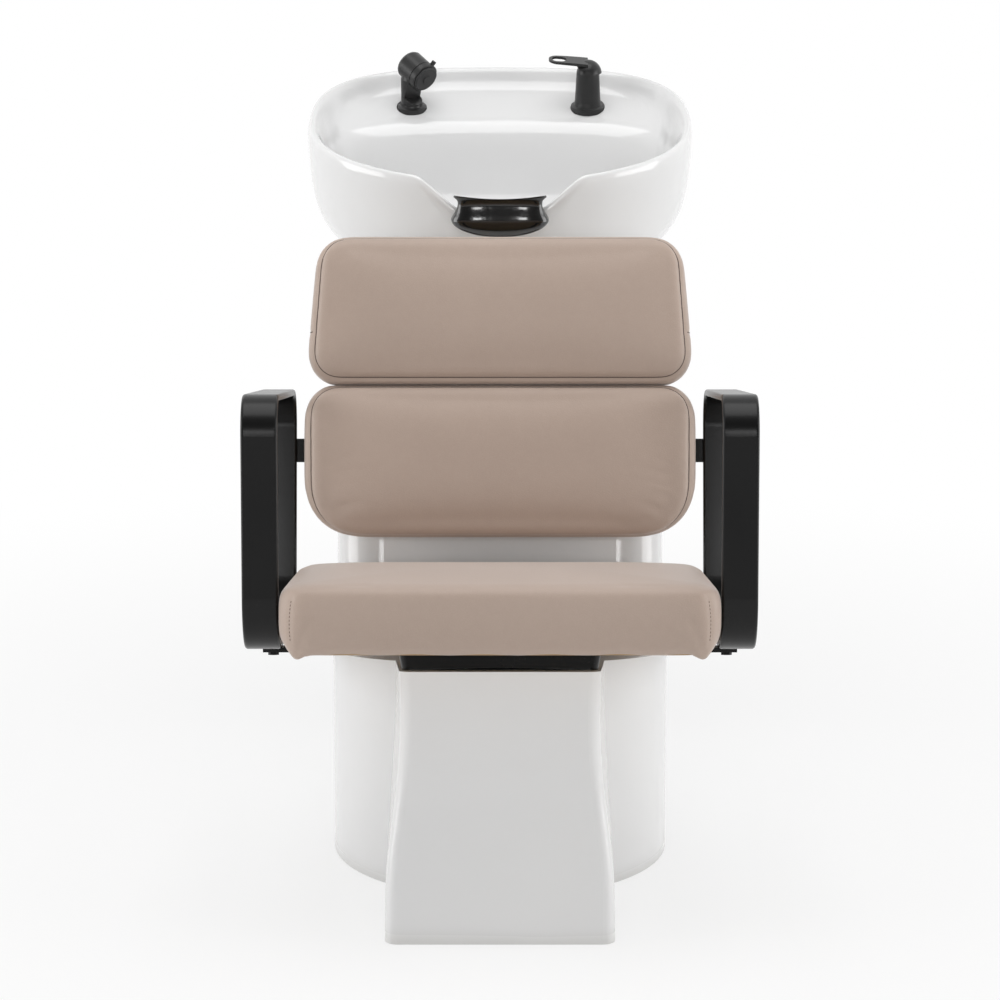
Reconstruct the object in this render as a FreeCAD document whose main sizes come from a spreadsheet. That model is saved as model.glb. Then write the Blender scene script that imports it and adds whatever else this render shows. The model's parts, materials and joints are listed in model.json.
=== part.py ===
import FreeCAD, Part
import Sketcher
import math
import os
import re
from FreeCAD import Placement, Rotation, Vector

# A salon backwash unit: moulded base, inclined armchair and tilting glazed basin.
# +X is the sitter's left, +Y runs to the rear, +Z is up; the origin lies on the floor
# at the centre of the four floor anchors. Lengths are millimetres, angles degrees.
SIZES = [
    # Moulded base
    ("foot_reach", 500, "front of the leg ahead of the anchor centre"),
    ("column_width", 452, "width of the column"),
    ("bulge_reach", 100, "centre of the round front ahead of the anchor centre"),
    ("column_rear", 500, "rear face behind the anchor centre"),
    ("column_rear_radius", 110, "rear corners in plan"),
    ("column_height", 640, "top of the column"),
    ("column_corner", 66, "front corners of the upper column in plan"),
    ("column_edge", 14, "rounding of the column's top edge"),
    ("back_clearance", 33, "free space between backrest irons and column"),
    ("shell_wall", 6, "wall of the moulding"),
    ("leg_foot_width", 294, "leg at the floor"),
    ("leg_top_width", 254, "leg under the seat"),
    ("leg_setback", 55, "front of the leg's top behind its foot"),
    ("leg_edge", 16, "rounding of the leg's upright edges"),
    ("well_width", 270, "opening in the column's top"),
    ("well_front", 240, "front of that opening"),
    ("well_rear", 475, "rear of that opening"),
    ("well_corner", 40, "corners of that opening"),
    ("hatch_width", 170, "rear access opening"),
    ("hatch_height", 330, "height of that opening"),
    ("hatch_level", 130, "lower edge of that opening"),
    ("hatch_lap", 15, "lap of the cover on the column"),
    ("hatch_cover", 4, "thickness of the cover"),
    ("hatch_corner", 18, "corners of the cover"),
    ("hatch_screw", 2, "radius of the cover screws"),
    # Steel frame inside the base
    ("floor_plate_width", 300, "floor plate"),
    ("floor_plate_front", 210, "front of the floor plate ahead of the anchors' centre"),
    ("floor_plate_rear", 375, "rear of the floor plate"),
    ("floor_plate_steel", 8, "thickness of the floor plate"),
    ("tongue_width", 120, "tongue of the floor plate under the front post"),
    ("anchor_spacing_x", 240, "floor anchors, across"),
    ("anchor_spacing_y", 320, "floor anchors, along"),
    ("anchor_radius", 6, "floor anchor holes"),
    ("post_side", 50, "front post, square tube"),
    ("upright_side", 40, "uprights, square tube"),
    ("upright_spacing", 220, "distance between the uprights"),
    ("tube_wall", 3, "wall of the tubes"),
    ("bridge_level", 590, "underside of the bridge on the uprights"),
    ("bridge_width", 300, "bridge, across"),
    ("bridge_depth", 70, "bridge, along"),
    ("bridge_steel", 8, "thickness of the bridge"),
    ("cap_width", 130, "cap plate of the front post"),
    ("cap_depth", 90, "cap plate of the front post, along"),
    ("cap_steel", 6, "thickness of the cap plate"),
    # Seat and armrests, in the inclined chair frame
    ("seat_incline", 11.5, "fall of the seat towards the rear"),
    ("seat_front_height", 385, "seat underside above the foot's front edge"),
    ("tray_width", 258, "pressed tray under the seat"),
    ("tray_foot_width", 250, "lower edge of the tray"),
    ("tray_front", 85, "front of the tray"),
    ("tray_length", 300, "length of the tray"),
    ("tray_depth", 28, "seat underside to the leg's top"),
    ("tray_steel", 4, "sheet of the tray"),
    ("tray_corner", 12, "upright corners of the tray"),
    ("tray_arch", 3, "rise of the arched front edge"),
    ("seat_post_at", 165, "front post, along the seat"),
    ("seat_bolt_spacing_x", 90, "tray bolts, across"),
    ("seat_bolt_spacing_y", 44, "tray bolts, along"),
    ("bolt_radius", 4, "shank of the structural bolts"),
    ("bolt_head", 7, "head radius of the structural bolts"),
    ("bolt_head_height", 4.5, "head height of the structural bolts"),
    ("bolt_play", 0.2, "radial play of bolts in their holes"),
    ("seat_width", 550, "seat pad at its widest"),
    ("seat_draw", 12, "drawing-in of the seat pad's sides at the bottom"),
    ("seat_front", 38, "seat pad ahead of the foot's front edge"),
    ("seat_length", 480, "seat pad, along"),
    ("seat_height", 84, "seat pad at its stitched border"),
    ("seat_crown", 12, "crown of the seat pad over its border"),
    ("seat_corner", 40, "corners of the seat pad in plan"),
    ("seat_board", 15, "plywood of the seat"),
    ("seat_board_margin", 16, "pad beyond the board"),
    ("arm_band", 46, "width of the armrest band"),
    ("arm_steel", 9, "thickness of the armrest band"),
    ("arm_play", 2, "space between seat pad and armrest"),
    ("arm_height", 324, "height of the armrest loop"),
    ("arm_front_foot", 10, "front corner of the loop at the bottom"),
    ("arm_front_top", -20, "front corner of the loop at the top"),
    ("arm_top_radius", 48, "upper corners of the loop"),
    ("arm_foot_radius", 75, "lower corners of the loop"),
    ("arm_edge", 4, "rounding of the band's edges"),
    ("arm_bite", 7, "depth of the bolts in the band"),
    ("bar_width", 40, "arm bars under the seat"),
    ("bar_steel", 6, "thickness of the arm bars"),
    ("bar_reach", 25, "arm bars under the armrest band"),
    ("bar_front_at", 115, "front arm bar, along the seat"),
    ("bar_rear_margin", 97, "rear arm bar ahead of the pad's rear edge"),
    # Backrest, in its own leaning frame
    ("back_reach", 397, "foot of the backrest's front, along the seat"),
    ("back_lift", 128, "foot of the backrest's front over the seat's underside"),
    ("back_lean", 16, "lean of the backrest from upright"),
    ("lower_width", 524, "lower back pad"),
    ("lower_height", 203, "lower back pad"),
    ("lower_foot_corner", 68, "lower corners of the lower pad"),
    ("lower_top_corner", 42, "upper corners of the lower pad"),
    ("upper_width", 522, "upper back pad at its foot"),
    ("upper_top_width", 488, "upper back pad at its top"),
    ("upper_height", 201, "upper back pad"),
    ("upper_corner", 40, "corners of the upper pad"),
    ("pad_gap", 1.5, "gap between the back pads"),
    ("pad_depth", 48, "depth of the back pads' borders"),
    ("pad_crown", 10, "crown of the back pads"),
    ("pad_seam", 8, "stitched border inside the outline"),
    ("back_board", 12, "plywood of the back pads"),
    ("back_board_margin", 14, "pad beyond the board"),
    ("back_bar_height", 32, "flat bar behind the lower pad"),
    ("back_bar_level", 117, "middle of that bar over the backrest's foot"),
    ("back_bar_inset", 8, "end of that bar inside the armrest's outer edge"),
    ("back_strap_width", 34, "upright straps behind the pads"),
    ("back_strap_spacing", 260, "distance between the straps"),
    ("back_strap_foot", 22, "lower end of the straps"),
    ("spacer_radius", 11, "spacers between boards and straps"),
    ("spacer_margin", 50, "spacers inside the pads' upper and lower edges"),
    ("screw_radius", 3, "wood screws"),
    ("screw_head", 6, "head radius of the wood screws"),
    ("screw_head_height", 3, "head height of the wood screws"),
    ("screw_bite", 9, "wood screws inside the boards"),
    # Basin, in the frame of its inclined rim
    ("basin_y", 400, "middle of the rim behind the anchor centre"),
    ("basin_z", 915, "middle of the rim above the floor"),
    ("basin_tilt", 12.4, "rise of the rim towards the rear"),
    ("basin_width", 562, "basin across its rim"),
    ("basin_front", 215, "front of the rim"),
    ("basin_rear", 257, "rear of the rim"),
    ("basin_waist", 8, "widest place behind the rim's middle"),
    ("basin_depth", 200, "rim to underside"),
    ("basin_floor", 17, "thickness of the basin's floor"),
    ("rim_width", 16, "rounded rim"),
    ("notch_top", 228, "neck notch at the rim"),
    ("notch_foot", 120, "neck notch at its bottom"),
    ("notch_depth", 45, "depth of the neck notch"),
    ("deck_drop", 42, "tap deck below the rim"),
    ("deck_front", 132, "front edge of the tap deck"),
    ("deck_spot", 1.5, "spot faces sunk into the deck"),
    ("deck_thick", 17, "ceramic of the tap deck at the spot faces"),
    ("apron", 13, "ceramic of the rear apron"),
    ("pocket_width", 340, "hollow under the tap deck"),
    ("pocket_setback", 18, "front of that hollow behind the deck's front edge"),
    ("pocket_draft", 14, "taper of the apron's inside"),
    ("pocket_lean", 8, "hollow ahead of the deck's edge at half depth"),
    ("pocket_foot", 70, "hollow ahead of the deck's edge at the bottom"),
    ("tap_at", 130, "mixer beside the middle"),
    ("shower_at", 131, "shower holder beside the middle"),
    ("deck_row", 176, "mixer and holder behind the rim's middle"),
    ("drain_at", 40, "drain ahead of the rim's middle"),
    ("drain_hole", 31, "radius of the drain hole"),
    # Basin hinge
    ("hinge_y", 330, "hinge pin behind the anchor centre"),
    ("hinge_rise", 57, "hinge pin above the bridge"),
    ("hinge_pin", 7, "radius of the hinge pin"),
    ("hinge_run", 0.05, "running clearance on the pin"),
    ("bush_wall", 3, "wall of the bushes"),
    ("bush_length", 10, "length of the bushes"),
    ("carrier_width", 192, "carrier under the basin"),
    ("carrier_front", 138, "front of the carrier ahead of the rim's middle"),
    ("carrier_rear", 24, "rear of the carrier behind the rim's middle"),
    ("carrier_steel", 6, "sheet of the carrier"),
    ("carrier_hole", 50, "hole of the carrier round the drain"),
    ("ear_radius", 20, "rounded ends of the hinge ears"),
    ("ear_gap", 6, "space between carrier ears and fixed ears"),
    ("ear_steel", 8, "fixed ears"),
    ("collar_width", 6, "collars on the pin"),
    ("collar_wall", 4, "wall of the collars"),
    ("pin_overhang", 3, "pin beyond its collars"),
    ("mat_thick", 3, "rubber mats between basin and carrier"),
    ("mat_radius", 15, "rubber mats"),
    ("stud_radius", 3, "studs that hold the basin"),
    ("stud_bite", 10, "studs inside the ceramic"),
    ("stud_spacing_x", 150, "studs, across"),
    ("stud_front", 92, "front studs ahead of the rim's middle"),
    ("stud_rear", 18, "rear studs ahead of the rim's middle"),
    # Waste
    ("waste_flange", 35, "radius of the waste flange"),
    ("waste_lip", 3, "thickness of the waste flange"),
    ("waste_sink", 0.5, "play round the sunk flange"),
    ("waste_play", 1, "waste barrel inside the drain hole"),
    ("waste_wall", 4, "wall of the waste barrel"),
    ("waste_seat", 2, "step that carries the strainer"),
    ("waste_length", 42, "barrel below the flange"),
    ("strainer_sink", 6, "strainer below the flange"),
    ("strainer_thick", 2, "strainer plate"),
    ("strainer_hole", 1.7, "holes of the hair strainer"),
    ("strainer_pitch", 6, "distance between rings of holes"),
    ("waste_nut_height", 12, "clamping nut"),
    ("waste_nut_wall", 10, "clamping nut beyond the barrel"),
    ("tail_radius", 20, "tail pipe"),
    ("tail_wall", 2.5, "wall of the tail pipe"),
    ("tail_length", 110, "tail pipe below its collar"),
    ("tail_bead", 3, "bead that hangs the tail pipe in the barrel"),
    ("tail_collar", 4, "collar of the tail pipe under the barrel"),
    ("fit_play", 0.2, "radial play of pieces that are screwed or slid together"),
    # Mixer
    ("mixer_radius", 19, "body of the mixer"),
    ("mixer_neck", 17, "body of the mixer at its pivot"),
    ("mixer_flange", 24.5, "flange of the mixer"),
    ("mixer_flange_height", 8, "cylindrical part of that flange"),
    ("mixer_foot_height", 16, "end of the flange's taper"),
    ("mixer_flare", 1.5, "hollow of that taper"),
    ("mixer_pivot", 58, "lever pivot above the deck"),
    ("shank_radius", 15, "shank through the deck"),
    ("shank_length", 46, "shank below the deck"),
    ("inlet_radius", 4.5, "water inlets in the shank"),
    ("inlet_depth", 22, "depth of the inlets"),
    ("inlet_spacing", 14, "distance between the inlets"),
    ("nut_height", 10, "back nuts under the deck"),
    ("nut_wall", 8, "back nuts beyond the shank"),
    ("barrel_radius", 11, "cartridge barrel"),
    ("barrel_run", 0.05, "running clearance of the barrel"),
    ("barrel_drop", 14, "barrel below the pivot"),
    ("barrel_rise", 5, "barrel above the pivot"),
    ("barrel_floor", 6, "solid foot of the barrel"),
    ("stem_width", 8, "flat lever stem across the pivot"),
    ("stem_length", 9, "flat lever stem along the lever"),
    ("stem_play", 0.2, "play of the stem in its slot"),
    ("pivot_pin", 2, "radius of the lever's pivot pin"),
    ("pivot_run", 0.05, "running clearance on the pivot pin"),
    ("pin_inset", 1, "pivot pin inside the barrel"),
    ("hood_gap", 0.6, "gap between mixer body and hood"),
    ("hood_wall", 2.8, "wall of the hood"),
    ("hood_low", 3.6, "hood's edge over the pivot at the back of the lever"),
    ("hood_high", 11, "hood's edge over the pivot under the lever"),
    ("lever_reach", 58, "tip of the lever beside the mixer's axis"),
    ("lever_root", 31, "width of the lever at its root"),
    ("lever_width", 28, "width of the lever's loop"),
    ("lever_thick", 4, "thickness of the lever"),
    ("lever_rise", 4.5, "climb of the lever to its tip"),
    ("lever_sink", 1.5, "lever below the hood's crown"),
    ("loop_length", 22, "finger loop"),
    ("loop_width", 19, "finger loop"),
    # Hand shower
    ("holder_flange", 21.5, "flange of the holder"),
    ("holder_flange_height", 9, "flange of the holder"),
    ("holder_rise", 12, "collar of the holder above the deck"),
    ("holder_radius", 16.2, "collar of the holder"),
    ("sleeve_radius", 13.5, "sleeve through the deck"),
    ("sleeve_length", 36, "sleeve below the deck"),
    ("holder_bore", 10, "bore of the holder"),
    ("handset_run", 0.1, "running clearance of the handset"),
    ("handle_radius", 15.7, "handle above the holder"),
    ("handle_gap", 0.3, "gap between handle and holder"),
    ("handle_taper", 3, "taper of the handle into the head"),
    ("ferrule_radius", 8.5, "hose end of the handset"),
    ("ferrule_length", 24, "hose end below the guide"),
    ("ferrule_taper", 2, "tapers of the hose end"),
    ("head_level", 61, "middle of the spray head above the deck"),
    ("head_side", 9, "middle of the spray head beside the handle"),
    ("head_yaw", 40, "turn of the spray head from the front"),
    ("head_dip", 18, "fall of the spray head's axis"),
    ("head_radius", 21.5, "drum of the spray head"),
    ("head_back", 24, "drum behind its middle"),
    ("head_front", 8, "drum ahead of its middle"),
    ("head_round", 5, "rounded back edge of the drum"),
    ("core_radius", 14, "core that carries the selector ring"),
    ("ring_run", 0.05, "running clearance of the ring"),
    ("ring_gap", 0.3, "end play of the ring"),
    ("ring_length", 11, "selector ring"),
    ("ring_wall", 8, "wall of the selector ring"),
    ("lug_radius", 3.4, "lug of the selector ring"),
    ("lug_height", 6, "lug beyond the ring"),
    ("lug_root", 3, "lug inside the ring"),
    ("lug_turn", 35, "lug's place round the ring"),
    ("face_radius", 19.5, "spray face"),
    ("face_thick", 3, "spray face"),
    ("face_disc", 7, "centre disc of the spray face"),
    ("face_disc_height", 1.6, "centre disc of the spray face"),
    # Neck rest
    ("neck_width", 136, "gel neck rest at its belly"),
    ("neck_top", 29, "gel over the notch"),
    ("neck_front", 23, "belly ahead of the notch"),
    ("neck_inside", 34, "gel behind the rim's front"),
    ("neck_fall", 38, "belly below the notch"),
    ("neck_saddle", 6, "hollow of the gel's top"),
    ("neck_slope", 0.42, "fall of the gel's top into the bowl"),
    ("neck_arc", 0.36, "rise of the belly at its ends"),
]

doc = FreeCAD.newDocument("backwash_unit")
sheet = doc.addObject("Spreadsheet::Sheet", "Dims")
for row, (alias, value, meaning) in enumerate(SIZES, start=1):
    sheet.set("A%d" % row, alias)
    sheet.set("B%d" % row, str(value))
    sheet.set("C%d" % row, meaning)
    sheet.setAlias("B%d" % row, alias)
doc.recompute()

ALIASES = {alias for alias, value, meaning in SIZES}
parts = []


def link(expression):
    """Point every size name in an expression at its cell."""
    def cell(match):
        word = match.group(0)
        return "Dims." + word if word in ALIASES else word
    return re.sub(r"[A-Za-z_]\w*", cell, expression)


def size(expression):
    """Value of an expression of size names."""
    return float(sheet.evalExpression(link(expression)))


def bind(thing, prop, expression):
    thing.setExpression(prop, link(expression))


def keep(thing):
    """List a finished piece for writing."""
    parts.append(thing)
    return thing


def shift(frame, x=0.0, y=0.0, z=0.0, rotation=None):
    """A placement given in another frame."""
    return frame.multiply(Placement(Vector(x, y, z), rotation or Rotation()))


# Frames: world, chair (seat underside), backrest (front of the pads), basin (rim)
WORLD = Placement()
CHAIR = Placement(Vector(0, -size("foot_reach"), size("seat_front_height")),
                  Rotation(Vector(1, 0, 0), -size("seat_incline")))
BACK = Placement(CHAIR.multVec(Vector(0, size("back_reach"), size("back_lift"))),
                 Rotation(Vector(1, 0, 0), -size("back_lean")))
BASIN = Placement(Vector(0, size("basin_y"), size("basin_z")),
                  Rotation(Vector(1, 0, 0), size("basin_tilt")))
DECK_LEVEL = -size("deck_drop + deck_spot")
MIXER = shift(BASIN, size("tap_at"), size("deck_row"), DECK_LEVEL)
HOLDER = shift(BASIN, -size("shower_at"), size("deck_row"), DECK_LEVEL)
DRAIN = shift(BASIN, 0, -size("drain_at"), -size("basin_depth"))
TURN_X = Rotation(Vector(0, 1, 0), 90)
TURN_Y = Rotation(Vector(1, 0, 0), -90)
HEAD = shift(HOLDER, size("head_side"), 0, size("head_level")).multiply(
    Placement(Vector(), Rotation(Vector(0, 0, 1), size("head_yaw"))
              .multiply(Rotation(Vector(1, 0, 0), 90 + size("head_dip")))))


def cylinder(name, radius, height, placement):
    """A cylinder along its own Z."""
    thing = doc.addObject("Part::Cylinder", name)
    bind(thing, "Radius", radius)
    bind(thing, "Height", height)
    thing.Placement = placement
    return thing


def block(name, length, width, height, frame, x=0.0, y=0.0, z=0.0):
    """A box centred on x and y that stands on z."""
    thing = doc.addObject("Part::Box", name)
    bind(thing, "Length", length)
    bind(thing, "Width", width)
    bind(thing, "Height", height)
    thing.Placement = shift(frame, x - size(length) / 2, y - size(width) / 2, z)
    return thing


def union(name, things):
    thing = doc.addObject("Part::MultiFuse", name)
    thing.Shapes = things
    return thing


def cut(name, base, tools):
    thing = doc.addObject("Part::Cut", name)
    thing.Base = base
    thing.Tool = tools[0] if len(tools) == 1 else union(name + "_tools", tools)
    return thing


def shaped(name, shape, placement=WORLD):
    """A piece whose form no feature gives: its shape comes from the functions below."""
    thing = doc.addObject("Part::Feature", name)
    thing.Shape = shape
    thing.Placement = placement
    return thing


def new_sketch(body, name, role):
    sketch = body.newObject("Sketcher::SketchObject", name)
    plane = [item for item in body.Origin.OriginFeatures if item.Role == role][0]
    sketch.AttachmentSupport = [(plane, "")]
    sketch.MapMode = "FlatFace"
    return sketch


def fix_point(sketch, item, corner, expressions):
    """Hold one sketch point at two bound distances from the origin."""
    for kind, axis, expression in zip(("DistanceX", "DistanceY"), (-2, -1), expressions):
        distance = size(expression)
        if abs(distance) < 1e-9:
            sketch.addConstraint(Sketcher.Constraint("PointOnObject", item, corner, axis))
        elif distance > 0:
            index = sketch.addConstraint(Sketcher.Constraint(kind, -1, 1, item, corner, distance))
            sketch.setExpression("Constraints[%d]" % index, link(expression))
        else:
            index = sketch.addConstraint(Sketcher.Constraint(kind, item, corner, -1, 1, -distance))
            sketch.setExpression("Constraints[%d]" % index, link("-(%s)" % expression))


def draw_polygon(sketch, points):
    """Closed straight-sided outline with every corner bound."""
    corners = [Vector(size(a), size(b), 0) for a, b in points]
    count = len(points)
    for item in range(count):
        sketch.addGeometry(Part.LineSegment(corners[item], corners[(item + 1) % count]), False)
    for item in range(count):
        sketch.addConstraint(Sketcher.Constraint("Coincident", item, 2, (item + 1) % count, 1))
    for item, point in enumerate(points):
        fix_point(sketch, item, 1, point)


def draw_circles(sketch, circles):
    for item, (a, b, radius) in enumerate(circles):
        centre = Vector(size(a), size(b), 0)
        sketch.addGeometry(Part.Circle(centre, Vector(0, 0, 1), size(radius)), False)
        fix_point(sketch, item, 3, (a, b))
        index = sketch.addConstraint(Sketcher.Constraint("Radius", item, size(radius)))
        sketch.setExpression("Constraints[%d]" % index, link(radius))


def turned(name, points, placement=WORLD):
    """A turned piece: (radius, height) corners revolved about Z."""
    body = doc.addObject("PartDesign::Body", name)
    sketch = new_sketch(body, name + "_profile", "XZ_Plane")
    draw_polygon(sketch, points)
    turn = body.newObject("PartDesign::Revolution", name + "_turn")
    turn.Profile = sketch
    turn.ReferenceAxis = (sketch, ["V_Axis"])
    turn.Angle = 360
    body.Placement = placement
    return body


def plate(name, points, thickness, placement=WORLD, holes=(), corner=None, role="XY_Plane"):
    """A flat piece: bound outline padded from its plane, drilled and rounded at its corners."""
    body = doc.addObject("PartDesign::Body", name)
    sketch = new_sketch(body, name + "_outline", role)
    draw_polygon(sketch, points)
    pad = body.newObject("PartDesign::Pad", name + "_pad")
    pad.Profile = sketch
    bind(pad, "Length", thickness)
    if holes:
        drilled = new_sketch(body, name + "_holes", role)
        draw_circles(drilled, holes)
        pocket = body.newObject("PartDesign::Pocket", name + "_drilling")
        pocket.Profile = drilled
        pocket.Type = "ThroughAll"
        pocket.Midplane = True
    doc.recompute()
    if corner:
        tip = body.Tip
        direction = Vector(0, 0, 1) if role == "XY_Plane" else Vector(1, 0, 0)
        names = []
        for index, edge in enumerate(tip.Shape.Edges, start=1):
            if isinstance(edge.Curve, Part.Line) and abs(edge.tangentAt(0).dot(direction)) > 0.999:
                names.append("Edge%d" % index)
        fillet = body.newObject("PartDesign::Fillet", name + "_corners")
        fillet.Base = (tip, names)
        bind(fillet, "Radius", corner)
    body.Placement = placement
    return body


def rectangle(width, front, rear):
    """Corners of an upright rectangle, centred on the first axis."""
    return [("-(%s) / 2" % width, front), ("(%s) / 2" % width, front),
            ("(%s) / 2" % width, rear), ("-(%s) / 2" % width, rear)]


def rounded_wire(points, radii):
    """Closed outline of lines and tangent arcs through rounded corners."""
    count = len(points)
    starts, mids, ends = [], [], []
    for item in range(count):
        corner = points[item]
        before = (points[item - 1] - corner).normalize()
        after = (points[(item + 1) % count] - corner).normalize()
        half = before.getAngle(after) / 2
        run = radii[item] / math.tan(half)
        inward = (before + after).normalize()
        starts.append(corner + before * run)
        ends.append(corner + after * run)
        mids.append(corner + inward * (radii[item] / math.sin(half) - radii[item]))
    edges = []
    for item in range(count):
        edges.append(Part.Arc(starts[item], mids[item], ends[item]).toShape())
        edges.append(Part.LineSegment(ends[item], starts[(item + 1) % count]).toShape())
    return Part.Wire(edges)


def pin_solid(base, axis, steps):
    """Coaxial cylinders (radius, from, to) fused into one solid."""
    solids = [Part.makeCylinder(radius, stop - start, base + axis * start, axis)
              for radius, start, stop in steps]
    solid = solids[0]
    for other in solids[1:]:
        solid = solid.fuse(other)
    return solid.removeSplitter()


def pin_group(name, frame, axis, spots, steps):
    """Like fasteners of one kind as separate solids of one piece."""
    solids = [pin_solid(spot, axis, steps) for spot in spots]
    return keep(shaped(name, Part.makeCompound(solids), frame))


def mirrored_spots(half, rest):
    """Points left and right of the middle plane."""
    return [Vector(side * half, a, b) for side in (-1, 1) for a, b in rest]


def skin_solid(rings):
    """Solid inside one cubic surface through rings of poles, closed by two flat ends."""
    around, along = len(rings[0]), len(rings)
    poles = [[ring[step] for ring in rings] for step in range(around)]
    surface = Part.BSplineSurface()
    surface.buildFromPolesMultsKnots(poles, [1] * (around + 1), [4] + [1] * (along - 4) + [4],
                                     list(range(around + 1)), list(range(along - 2)), True, False, 3, 3)
    ends = [Part.Face(Part.Wire([surface.vIso(end).toShape()])) for end in (0, along - 3)]
    shell = Part.makeShell([surface.toShape()] + ends)
    shell.sewShape()
    solid = Part.Solid(shell)
    if solid.Volume < 0:
        solid.reverse()
    return solid


def rounded_poles(points, radii):
    """Poles of a closed soft outline: even along the sides, closer round the corners."""
    count = len(points)
    poles = []
    for item in range(count):
        corner = points[item]
        before = (points[item - 1] - corner).normalize()
        after = (points[(item + 1) % count] - corner).normalize()
        half = before.getAngle(after) / 2
        run = radii[item] / math.tan(half)
        centre = corner + (before + after).normalize() * (radii[item] / math.sin(half))
        start = corner + before * run - centre
        stop = corner + after * run - centre
        turn = start.getAngle(stop)
        for share in (0.0, 0.25, 0.5, 0.75, 1.0):
            arm = start * math.sin((1 - share) * turn) + stop * math.sin(share * turn)
            poles.append(centre + arm * (1 / math.sin(turn)))
        follow = points[(item + 1) % count]
        ahead = (follow - corner).normalize()
        back = (points[(item + 2) % count] - follow).normalize()
        next_run = radii[(item + 1) % count] / math.tan((math.pi - ahead.getAngle(back)) / 2)
        first, last = corner + ahead * run, follow - ahead * next_run
        for share in (0.08, 0.5, 0.92):
            poles.append(first + (last - first) * share)
    return poles


# Moulded base
def base_form(inset):
    """Outside of the base, or its inside when inset by the wall."""
    sole = -20 if inset else 0
    half = size("column_width / 2") - inset
    rear = size("column_rear") - inset
    rear_radius = size("column_rear_radius") - inset
    middle = -size("bulge_reach")
    crown = -size("tray_depth") - inset

    left = Vector(-half, middle, sole)
    right = Vector(half, middle, sole)
    tip = Vector(0, middle - half, sole)
    rear_left = Vector(-half, rear - rear_radius, sole)
    rear_right = Vector(half, rear - rear_radius, sole)
    bend = rear_radius * (1 - math.sqrt(0.5))
    plan = Part.Wire([
        Part.Arc(left, tip, right).toShape(),
        Part.LineSegment(right, rear_right).toShape(),
        Part.Arc(rear_right, Vector(half - bend, rear - bend, sole),
                 Vector(half - rear_radius, rear, sole)).toShape(),
        Part.LineSegment(Vector(half - rear_radius, rear, sole),
                         Vector(rear_radius - half, rear, sole)).toShape(),
        Part.Arc(Vector(rear_radius - half, rear, sole),
                 Vector(bend - half, rear - bend, sole), rear_left).toShape(),
        Part.LineSegment(rear_left, left).toShape(),
    ])
    lower = Part.Face(plan).extrude(Vector(0, 0, size("seat_front_height") - sole))

    sections = []
    height = size("seat_front_height")
    for share in (0.0, 0.12, 0.25, 0.38, 0.5, 0.65, 1.0):
        swing = min(1.0, max(0.0, (0.68 - share) / 0.56))
        flare = swing * swing * (3 - 2 * swing)
        wide = size("leg_top_width + (leg_foot_width - leg_top_width) * %r" % flare) / 2 - inset
        front = -size("foot_reach") + size("leg_setback") * (1 - (1 - share) ** 2) + inset
        level = sole if share == 0.0 else share * height
        spread = size("leg_foot_width") / 2 - inset
        radius = size("leg_edge") - inset
        points = [Vector(-wide, front, level), Vector(wide, front, level),
                  Vector(spread, middle, level), Vector(-spread, middle, level)]
        sections.append(rounded_wire(points, [radius] * 4))
    leg = Part.makeLoft(sections, True, False)

    reach = 3 * size("foot_reach")
    above = Part.makeBox(2 * reach, 2 * reach, reach, Vector(-reach, -reach, crown))
    above.Placement = CHAIR.multiply(above.Placement)
    low = lower.fuse(leg).cut(above)

    panel = size("pad_depth + back_board + 2 * bar_steel + back_clearance") + inset
    top = size("column_height") - inset
    outlines = []
    for level in (sole, top):
        foot = BACK.multVec(Vector(0, panel, 0))
        lean = math.tan(math.radians(size("back_lean")))
        front = foot.y + (level - foot.z) * lean
        points = [Vector(-half, front, level), Vector(half, front, level),
                  Vector(half, rear, level), Vector(-half, rear, level)]
        corner = size("column_corner") - inset
        outlines.append(rounded_wire(points, [corner, corner, rear_radius, rear_radius]))
    upper = Part.makeLoft(outlines, True, True)
    if not inset:
        brim = [edge for edge in upper.Edges if edge.BoundBox.ZMin > top - 1]
        upper = upper.makeFillet(size("column_edge"), brim)
    return low.fuse(upper).removeSplitter()


wall = size("shell_wall")
well = Part.makeBox(size("well_width"), size("well_rear - well_front"), 4 * wall,
                    Vector(-size("well_width / 2"), size("well_front"), size("column_height") - 2 * wall))
well = well.makeFillet(size("well_corner"),
                       [edge for edge in well.Edges if abs(edge.tangentAt(0).z) > 0.9])
hatch = Part.makeBox(size("hatch_width"), 4 * wall, size("hatch_height"),
                     Vector(-size("hatch_width") / 2, size("column_rear") - 2 * wall, size("hatch_level")))
shell = base_form(0).cut(base_form(wall)).cut(well).cut(hatch)

tray_bolts = [(side * size("seat_bolt_spacing_x") / 2,
               size("seat_post_at") + row * size("seat_bolt_spacing_y") / 2)
              for side in (-1, 1) for row in (-1, 1)]
hatch_bolts = [(side * size("hatch_width + hatch_lap") / 2,
                size("hatch_level + hatch_height / 2") + row * size("hatch_height + hatch_lap") / 2)
               for side in (-1, 1) for row in (-1, 1)]
for x, u in tray_bolts:
    drill = Part.makeCylinder(size("bolt_radius + bolt_play"), 4 * wall,
                              Vector(x, u, -size("tray_depth") - 2 * wall))
    drill.Placement = CHAIR.multiply(drill.Placement)
    shell = shell.cut(drill)
for x, z in hatch_bolts:
    shell = shell.cut(Part.makeCylinder(size("hatch_screw + bolt_play"), 4 * wall,
                                        Vector(x, size("column_rear") - 2 * wall, z), Vector(0, 1, 0)))
keep(shaped("base_shell", shell))

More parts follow.
